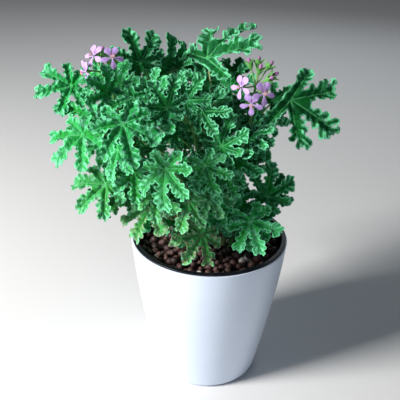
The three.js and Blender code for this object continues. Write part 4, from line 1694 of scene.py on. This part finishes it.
def clay_finish():
    finish = Finish("clay_brown")
    tint = finish.mark("tint")
    grain = finish.noise(finish.place, 1100.0, 4.0, 0.65)
    brown = finish.blend(tint, (0.018, 0.009, 0.009), (0.130, 0.062, 0.054))
    # On the granules this blend is their own dust, with no painted sheen.
    dust_and_sheen = finish.blend(finish.ease(grain, 0.50, 0.80) * 0.4, brown, (0.160, 0.100, 0.090))
    finish.give("Base Color", finish.blend(finish.ease(tint, *WHITE_GRANULES), dust_and_sheen, (0.62, 0.58, 0.54)))
    finish.give("Roughness", 0.42 + 0.30 * grain)
    finish.bump(grain, 0.5, 0.0005)
    return finish


SOIL_DARK = soil_finish()
CLAY_BROWN = clay_finish()
print("soil finishes ready")

# %% [markdown]
# ## The soil
#
# Dark soil fills the liner nearly to its rim. It shows only between the granules, so it could be a flat
# disc, but the real soil is crumbly and a little higher in the middle. The soil bed is a turned block
# whose top is roughened by noise.

# %% Soil bed
SOIL_FLOOR_Z = LINER_FLOOR_Z + LINER_WALL + 0.3
SOIL_FLOOR_RING = 25
BED_DEPTH = 3.4
BED_RELIEF = 0.9
BED_RADIUS = pot_radius(SOIL_Z) - SOIL_INSET
BED_SIDES = 96
LUMP_SIZE = 7
TOP_BEGINS_Z = SOIL_Z - 8


def soil_height(radius):
    return SOIL_Z + SOIL_DISH * (1 - (radius / RIM_RADIUS) ** 2)


def soil_bed():
    bed = turned("soil_bed", [
        (0, SOIL_FLOOR_Z), (SOIL_FLOOR_RING, SOIL_FLOOR_Z),
        *wall(SOIL_FLOOR_Z, soil_height(BED_RADIUS) - BED_DEPTH, SOIL_INSET, 12),
        *[(r, soil_height(r) - BED_DEPTH) for r in np.linspace(BED_RADIUS, 2, 26)[1:]],
        (0, soil_height(0) - BED_DEPTH),
    ], SOIL_DARK, BED_SIDES)
    for vertex in bed.data.vertices:
        x, y, z = vertex.co / MM
        inside = BED_RADIUS - 1 - math.hypot(x, y)
        if z > TOP_BEGINS_Z and inside > 0:
            rough = noise.fractal(Vector((x, y, 3.0)) / LUMP_SIZE, 0.7, 2.1, 4)
            vertex.co.z += BED_RELIEF * rough * min(1, inside / 3) * MM
    return bed


handed_in(soil_bed(), ["growing_medium"])

# %% [markdown]
# ## The clay granules
#
# Fired clay balls of mixed sizes cover the soil, two deep in places. Balls dropped by a physics run
# would lie most truly, but such a run is slow. A geometry tree scatters them with a least distance, so
# they lie side by side, and leaves them out where a stem stands. A second, sparser layer lies on the
# first.

# %% The tree that scatters granules
GRANULE_SCALES = (0.62, 1.25)
FULL_TURN = 6.28
DENSEST = 200000.0


def granule_tree():
    shape = Shape("clay_granules", Stems="NodeSocketObject", Finish="NodeSocketMaterial",
                  Spacing=0.0052, Radius=0.0027, Room=0.0046, Rough=0.35, Seed=3)
    seed, position = shape.given("Seed"), shape.node("GeometryNodeInputPosition")
    points = shape.node("GeometryNodeDistributePointsOnFaces", {"distribute_method": "POISSON"}, {
        "Mesh": shape.host, "Distance Min": shape.given("Spacing"), "Density Max": DENSEST,
        "Seed": seed}, "Points")
    stems = shape.node("GeometryNodeObjectInfo", None, {"Object": shape.given("Stems")}, "Geometry")
    gap = shape.node("GeometryNodeProximity", {"target_element": "POINTS"}, {
        0: stems, "Sample Position": position}, "Distance")
    kept = shape.node("GeometryNodeDeleteGeometry", {"domain": "POINT"}, {
        "Geometry": points, "Selection": shape.math("LESS_THAN", gap, shape.given("Room"))})
    kept = shape.store(kept, "tint", shape.random(0.0, 1.0, seed + 1))
    kept = shape.store(kept, "centre", position, "FLOAT_VECTOR")
    ball = shape.node("GeometryNodeMeshIcoSphere", None, {"Radius": 1.0, "Subdivisions": 2}, "Mesh")
    balls = shape.realize(shape.on_points(kept, {
        "Instance": ball, "Rotation": shape.random((0.0,) * 3, (FULL_TURN,) * 3, seed + 3),
        "Scale": shape.random(*GRANULE_SCALES, seed + 2) * shape.given("Radius")}))
    spoke = shape.vector("SUBTRACT", position, shape.mark("centre", "FLOAT_VECTOR"))
    bulge = (shape.noise(position, 260.0, 1.0) - 0.5) * shape.given("Rough")
    shape.end(shape.node("GeometryNodeSetPosition", None, {
        "Geometry": balls, "Offset": shape.vector("SCALE", spoke, bulge)}))
    return shape


CLAY_GRANULES = granule_tree()
print("granule tree with inputs", list(CLAY_GRANULES.keys))

# %% Scatter the granules
# Each layer's height over the soil in millimetres, then spacing and radius in metres, and seed
GRANULE_LAYERS = ((-BED_DEPTH + 1.3, 0.0056, 0.0030, 3), (-BED_DEPTH + 4.0, 0.0082, 0.0030, 8))
BED_EDGE = 2.6
DISC_RINGS, DISC_SPOKES = 12, 48
STEM_FOOT_PLACES = np.linspace(0.02, 0.3, 16)


def granule_disc(lift):
    rings = [(r, soil_height(r) + lift) for r in np.linspace(BED_RADIUS - BED_EDGE, 0.5, DISC_RINGS)]
    points = [(r * math.cos(a) * MM, r * math.sin(a) * MM, z * MM)
              for r, z in rings for a in np.linspace(0, 2 * math.pi, DISC_SPOKES, endpoint=False)]
    faces = []
    for start in range(0, DISC_SPOKES * (DISC_RINGS - 1), DISC_SPOKES):
        for k in range(DISC_SPOKES):
            a, b = start + k, start + (k + 1) % DISC_SPOKES
            faces.append((a, b, b + DISC_SPOKES, a + DISC_SPOKES))
    return mesh_object("disc", points, faces)


def clay_granules():
    places = [item["stem"].point(t) * MM for item in SHOOTS for t in STEM_FOOT_PLACES]
    stems = mesh_object("stem_places", places, [])
    layers = [grown(CLAY_GRANULES, granule_disc(lift), "layer", Stems=stems, Finish=CLAY_BROWN,
                    Spacing=spacing, Radius=radius, Seed=seed)
              for lift, spacing, radius, seed in GRANULE_LAYERS]
    bpy.data.objects.remove(stems)
    return joined("clay_granules", layers)


handed_in(clay_granules(), ["growing_medium"])

# %% [markdown]
# ## Flower heads
#
# Two stems end in a head of lilac flowers. A green stalk splits at a knot into thin flower stalks, and
# each open flower stands on a small cup with five pointed sepals. Unopened flowers are closed round
# mauve tips by their own sepals. A head could be one model used twice, but the two heads face different
# ways and are open to different degrees, so each is planned by the places of its flowers and buds.

# %% Plan of the flower heads


def head(name, shoot_name, middle, flowers, buds):
    return {"name": name, "shoot": shoot_name, "middle": np.array(middle, float),
            "flowers": [(np.array(place, float), unit(facing)) for place, facing in flowers],
            "buds": [np.array(tip, float) for tip in buds]}


HEADS = [
    head("left", "left_high", (-89, -17, 288), [
        ((-79, -24, 301), (0.25, -0.75, 0.6)),
        ((-93, -20, 301), (-0.5, -0.6, 0.5)),
        ((-98, -28, 291), (-0.8, -0.55, -0.1)),
    ], [(-88, -9, 305), (-80, -10, 298), (-94, -12, 303), (-84, -16, 305)]),
    head("right", "right_high", (31, -22, 282), [
        ((36, -38, 281), (0.3, -0.9, 0.3)),
        ((28, -33, 271), (-0.1, -0.9, -0.1)),
        ((20, -30, 283), (-0.65, -0.7, 0.25)),
    ], [(25, -16, 301), (33, -13, 302), (43, -17, 300), (43, -28, 291), (34, -24, 299), (47, -23, 293)]),
]
for one in HEADS:
    print(one["name"], "head:", len(one["flowers"]), "flowers and", len(one["buds"]), "buds")

# %% Lines, spokes and thin blades


class Lines:
    """Lines with a thickness, an age and a blush at every point, ready to be swept."""

    def __init__(self):
        self.points, self.edges, self.marks = [], [], {"thick": [], "age": [], "blush": []}

    def add(self, points, thick, age=0.0, blush=0.0):
        start = len(self.points)
        count = len(points)
        self.points += [np.asarray(p) * MM for p in points]
        self.edges += [(start + k, start + k + 1) for k in range(count - 1)]
        for key, value in (("thick", np.asarray(thick) * MM), ("age", age), ("blush", blush)):
            self.marks[key] += list(np.broadcast_to(value, count))

    def swept(self, name, finish, sides):
        host = mesh_object(name, self.points, [], None, self.marks, self.edges)
        return grown(SWEEP_STALKS, host, name, Finish=finish, Sides=sides)


def across(direction):
    """Two directions square to a given one."""
    first = unit(np.cross(direction, (0.3, 0.1, 0.9) if abs(direction[2]) < 0.8 else (1, 0, 0)))
    return first, np.cross(direction, first)


def spokes(direction, count, turn=0.0):
    first, second = across(direction)
    for k in range(count):
        angle = 2 * math.pi * k / count + turn
        yield math.cos(angle) * first + math.sin(angle) * second


def thin_blade(at, ahead, face, size, kind, age, droop, curl=0.3):
    return {"at": at, "ahead": unit(ahead), "face": unit(face), "size": size, "kind": kind,
            "age": age, "droop": droop, "curl": curl}


print("five spokes about the upright axis:", len(list(spokes(UP, 5))))

# %% Green parts of the flower heads
CUP_LENGTH, CUP_RADIUS = 3.2, 1.7
SEPALS = 5
SEPAL_SIZE, BUD_SEPAL_SIZE = 6.0, 7.4
HEAD_STALK_RADII, HEAD_STALK_POINTS = (1.25, 1.0), 12
FLOWER_STALK_RADIUS = 0.6
BUD_LENGTH = 8.0
# Places along a bud and its radius there, for its green body and for its mauve tip
BUD_BODY = ((0.0, 0.6), (0.12, 1.2), (0.3, 1.9), (0.55, 1.9), (0.8, 1.2), (1.0, 0.4))
BUD_TIP = ((0.66, 1.3), (0.85, 1.65), (1.02, 1.35), (1.15, 0.4))
# Places along the knot and its radius there, in millimetres
KNOT = ((-2, 0.6), (-1, 1.7), (0, 2.0), (1, 1.7), (1.8, 0.6))


def flower_greens(middle, place, facing, green):
    """Adds an open flower's stalk and cup to the lines, and returns its sepals."""
    foot = place - CUP_LENGTH * facing
    bend = foot + 0.4 * (middle - foot) - 1.5 * facing
    green.add(Sweep(middle, bend, foot + 0.4 * facing).points(8), FLOWER_STALK_RADIUS, 0.1, 0.15)
    green.add([foot, foot + 0.35 * (place - foot), place], (0.8, 1.15, CUP_RADIUS * 0.9), 0.1, 0.2)
    return [thin_blade(place - 1.4 * facing + 1.2 * spoke, spoke + 0.25 * facing, facing, SEPAL_SIZE,
                       "sepal", 0.3, 0.25) for spoke in spokes(facing, SEPALS, 0.4)]


def bud_greens(middle, tip, opening, green, mauve):
    """Adds a bud's stalk, body and tip to the lines, and returns its sepals."""
    way = unit(tip - middle)
    foot = tip - BUD_LENGTH * way
    green.add(Sweep(middle, (middle + foot) / 2 + 0.4 * UP, foot + 0.6 * way).points(5),
              FLOWER_STALK_RADIUS, 0.1, 0.2)
    for lines, outline, age in ((green, BUD_BODY, 0.2), (mauve, BUD_TIP, 0.0)):
        lines.add([foot + share * BUD_LENGTH * way for share, _ in outline], [r for _, r in outline], age)
    return [thin_blade(foot + 0.9 * way + 1.1 * spoke, way + opening * spoke, -spoke, BUD_SEPAL_SIZE,
                       "sepal", 0.0, 0.02) for spoke in spokes(way, SEPALS, tip[0])]


def head_greens(one, stem, green, mauve):
    """Adds a head's stalks, cups and buds to the lines, and returns its sepals."""
    middle, start = one["middle"], stem.point(0.9)
    bend = (start + middle) / 2 + 6 * UP
    sepals = []
    green.add(Sweep(start, bend, middle).points(HEAD_STALK_POINTS),
              np.linspace(*HEAD_STALK_RADII, HEAD_STALK_POINTS), 0.2)
    green.add([middle + height * UP for height, _ in KNOT], [radius for _, radius in KNOT])
    for place, facing in one["flowers"]:
        sepals += flower_greens(middle, place, facing, green)
    for number, tip in enumerate(one["buds"]):
        sepals += bud_greens(middle, tip, 0.55 + 0.2 * (number % 3), green, mauve)
    return sepals


print("a bud has", len(BUD_BODY) + len(BUD_TIP), "rings and", SEPALS, "sepals")

# %% [markdown]
# ## Which pattern and tint each leaf gets
#
# The largest leaves on the plant are wide fans, the others are stars, and the smallest are barely cut.
# The tint paints light and shade into the greens: leaves low down and on the sunny side are painted the
# palest, and those high up and on the shaded right darker. Both could be chosen by hand, but size and
# place say them well enough, with a small draw so that neighbours differ.

# %% Hosts for blades
FAN_SIZE, LARGE_SIZE, SMALL_SIZE = 40.0, 23.0, 12.5


def leaf_kind(item, chance):
    if item["size"] >= FAN_SIZE:
        return "fan"
    if item["size"] >= LARGE_SIZE:
        return f"large_{chance.integers(len(LARGE_SEEDS))}"
    if item["size"] >= SMALL_SIZE:
        return f"small_{chance.integers(len(SMALL_SEEDS))}"
    return "tiny"


def painted_sunlight(item, share):
    """Painted light and shade: leaves low down and on the sunny left are painted palest, those high up
    and on the right darker.
    """
    return min(max(0.2 - item["at"][0] / 110 - (item["at"][2] - 225) / 90 + 0.5 * share, 0.0), 1.0)


def blade_host(name, items, chance):
    ahead, side, normal = zip(*(blade_axes(item) for item in items))
    return mesh_object(name, [item["at"] * MM for item in items], [], None, {
        "ahead": ahead,
        "side": side,
        "normal": normal,
        "size": [item["size"] * MM for item in items],
        "droop": [item["droop"] for item in items],
        "curl": [item.get("curl", 1.0) for item in items],
        "age": [item["age"] for item in items],
        "kind": [kinds[item.get("kind") or leaf_kind(item, chance)] for item in items],
        "phase": chance.random(len(items)),
        "tint": [painted_sunlight(item, chance.random()) for item in items],
    })


print("a leaf in the bush's middle has tint", round(painted_sunlight({"at": BUSH_MIDDLE}, 0.5), 2))

# %% [markdown]
# ## Growing each leafy stem
#
# Every stem is one piece, as it grew: the woody stem, the leaf stalks with their stipules, the blades
# and the hairs. Leaves as pieces of their own would be easier to move, but nobody could say where the
# plant ends and the leaf begins. Host points and lines are gathered first, then the trees make the faces,
# and the parts are joined.

# %% Stalks, stipules and twins
STEM_RADIUS, TIP_RADIUS = 2.3, 1.3
STALK_RADIUS = 1.1
FULL_STALK_LEAF = 28
STALK_POINTS = 9
STALK_SIDES = 8
STIPULE_SIZE = 4.5


def stalk_lines(item, lines, chance):
    large = min(1.2, 0.35 + 0.65 * item["size"] / FULL_STALK_LEAF)
    thick = STALK_RADIUS * large * (1.0 - 0.30 * np.linspace(0, 1, STALK_POINTS) ** 0.7)
    thick[0] *= 1.25
    blush = 0.5 * chance.random() ** 3 if item["age"] > 0.5 else 0.05
    lines.add(stalk_sweep(item).points(STALK_POINTS), thick, 0.12 * item["age"] ** 2, blush)


def stipules(item):
    reach = unit(item["at"] - item["joint"])
    first, _ = across(reach)
    return [thin_blade(item["joint"] + 1.2 * side * first, reach + 0.9 * side * first, UP + 0.01 * reach,
                       STIPULE_SIZE, "stipule", 0.4, 0.1) for side in (-1, 1)]


def copied(thing):
    """A twin for hairs to grow on. Hairs would spoil the lobe map when all is joined, so it has none."""
    twin = linked(thing.name, thing.data.copy())
    if "lobe" in twin.data.attributes:
        twin.data.attributes.remove(twin.data.attributes["lobe"])
    return twin


print("stalks have", STALK_SIDES, "sides")

# %% Grow the stems
STEM_POINTS = 18
STEM_SEED, STALK_HAIR_SEED = 500, 50


def leafy_stem(item, index):
    chance = np.random.default_rng(STEM_SEED + index)
    stem, blades = item["stem"], item["blades"]
    lines, mauve, small = Lines(), Lines(), []
    steps = np.linspace(0, 1, STEM_POINTS)
    thick = STEM_RADIUS + (TIP_RADIUS - STEM_RADIUS) * steps
    lines.add(stem.points(STEM_POINTS), thick, np.clip(0.95 - 2.1 * steps, 0, 1), 0.06)
    for blade in blades:
        stalk_lines(blade, lines, chance)
        small += stipules(blade)
    for one in HEADS:
        if one["shoot"] == item["name"]:
            small += head_greens(one, stem, lines, mauve)
    stalks = lines.swept("stalks", STALK_GREEN, STALK_SIDES)
    leaves = grown(LAY_BLADES, blade_host("leaves", blades, chance), "leaves",
                   Patterns=PATTERNS, Finish=LEAF_GREEN)
    little = grown(LAY_BLADES, blade_host("little", small, chance), "little", Patterns=PATTERNS,
                   Finish=STALK_GREEN, Thickness=0.0003, Crisp=0.02, Quilt=0.0, Ripple=0.0)
    parts = [stalks, leaves, little]
    if mauve.points:
        parts.append(mauve.swept("bud_tips", BUD_MAUVE, STALK_SIDES))
    parts.append(grown(COAT_OF_HAIRS, copied(leaves), "leaf_hairs", Finish=HAIR_PALE,
                       Density=110000.0, Inner_Share=0.02, Length=0.0009, Seed=index))
    parts.append(grown(COAT_OF_HAIRS, copied(stalks), "stalk_hairs", Finish=HAIR_PALE,
                       Density=350000.0, Length=0.0015, Seed=index + STALK_HAIR_SEED))
    return joined(f"leafy_stem_{item['name']}", parts)


for index, item in enumerate(SHOOTS):
    handed_in(leafy_stem(item, index), [f"stem_{item['name']}"])

# %% [markdown]
# ## Open flowers
#
# A flower has two wide petals above and three narrow ones below, with a ring of stamens and the style in
# its throat. Petals could be cut as a picture on one plane, but they curl towards the eye, so the blade
# tree lays all five as one pattern and gives them a thickness.

# %% Build the corollas
COROLLA_LIFT = 0.65
PETAL_DROOP = 0.253
STAMENS = 7
STAMEN_LENGTH, STYLE_LENGTH = 4.6, 5.6
COROLLA_SEED = 900


def corolla(name, place, facing, index):
    chance = np.random.default_rng(COROLLA_SEED + index)
    upward = unit(UP - UP.dot(facing) * facing)
    flower = thin_blade(place + COROLLA_LIFT * facing, upward, facing, PETAL_LENGTH, "petals", 0.0,
                        PETAL_DROOP, 1.0)
    petals = grown(LAY_BLADES, blade_host("petals", [flower], chance), "petals", Patterns=PATTERNS,
                   Finish=PETAL_LILAC, Thickness=0.0004, Rise=0.274, Fold=-0.10, Quilt=0.004, Crisp=0.05,
                   Ripple=0.006, Curl=0.35)
    threads, anthers = Lines(), Lines()
    for spoke in spokes(facing, STAMENS, index):
        end = place + STAMEN_LENGTH * facing + 1.3 * spoke
        threads.add([place + 0.4 * facing, place + 2.5 * facing + 0.5 * spoke, end], 0.18)
        anthers.add([end - 0.5 * facing, end, end + 0.5 * facing], (0.15, 0.42, 0.15))
    threads.add([place, place + STYLE_LENGTH * facing], 0.25)
    return joined(name, [petals, threads.swept("threads", PETAL_LILAC, 5),
                         anthers.swept("anthers", ANTHER_ORANGE, 6)])


for one in HEADS:
    for number, (place, facing) in enumerate(one["flowers"], 1):
        name = f"{one['name']}_{number}"
        handed_in(corolla(f"petals_{name}", place, facing, number), [f"corolla_{name}"])

for pattern in list(PATTERNS.objects):
    bpy.data.objects.remove(pattern)
bpy.data.collections.remove(PATTERNS)

# %% [markdown]
# ## Floor and light
#
# A plain pale floor and soft studio light show the plant without taking part. In the photograph bright
# daylight falls from the left and above. One wide lamp would do, but the leaves would lose their
# modelling, so a fairly small warm panel to the left and above draws it, a weak bluish one in front
# opens the shadows, and a third behind the plant lights the edges of the leaves.

# %% Stage
FLOOR_HALF = 6.0
LIT_PLACE = (0.0, 0.0, 0.18)
# Name, place, size, watts and colour
PANELS = (
    ("key", (-1.16, -0.56, 0.88), 0.42, 38, (1.0, 0.98, 0.95)),
    ("fill", (0.1, -1.5, 0.45), 1.2, 2.1, (0.60, 0.80, 1.0)),
    ("back", (0.3, 1.3, 1.0), 1.0, 3.0, (0.86, 0.94, 1.0)),
)
SKY_COLOUR, SKY_STRENGTH = (0.78, 0.88, 1.0, 1), 0.07


def panel(name, place, size, watts, colour):
    data = bpy.data.lights.new(name, "AREA")
    data.shape = "SQUARE"
    data.size = size
    data.energy = watts
    data.color = colour
    lamp = linked(name, data)
    lamp.location = place
    lamp.rotation_euler = (Vector(place) - Vector(LIT_PLACE)).to_track_quat("Z", "Y").to_euler()


def sky():
    world = bpy.data.worlds.new("pale")
    world.use_nodes = True
    background = world.node_tree.nodes["Background"]
    background.inputs["Color"].default_value = SKY_COLOUR
    background.inputs["Strength"].default_value = SKY_STRENGTH
    bpy.context.scene.world = world


FLOOR_PALE = Finish("floor_pale", roughness=0.75)
FLOOR_PALE.drift((1.5, 2.0), (0.80, 0.80, 0.80), (0.83, 0.83, 0.83))
floor = mesh_object("floor", [(-FLOOR_HALF, -FLOOR_HALF, 0), (FLOOR_HALF, -FLOOR_HALF, 0),
                              (FLOOR_HALF, FLOOR_HALF, 0), (-FLOOR_HALF, FLOOR_HALF, 0)],
                    [(0, 1, 2, 3)], FLOOR_PALE)
floor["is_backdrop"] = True
for row in PANELS:
    panel(*row)
sky()
bpy.context.scene.view_settings.view_transform = "Standard"
print("stage set with", len(PANELS), "panels")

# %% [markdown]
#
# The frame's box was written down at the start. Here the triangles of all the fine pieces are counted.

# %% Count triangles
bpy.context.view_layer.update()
dressed = [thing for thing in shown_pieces() if thing.name not in frame["nodes"]]
print("triangles in all:", sum(triangles(thing) for thing in dressed))
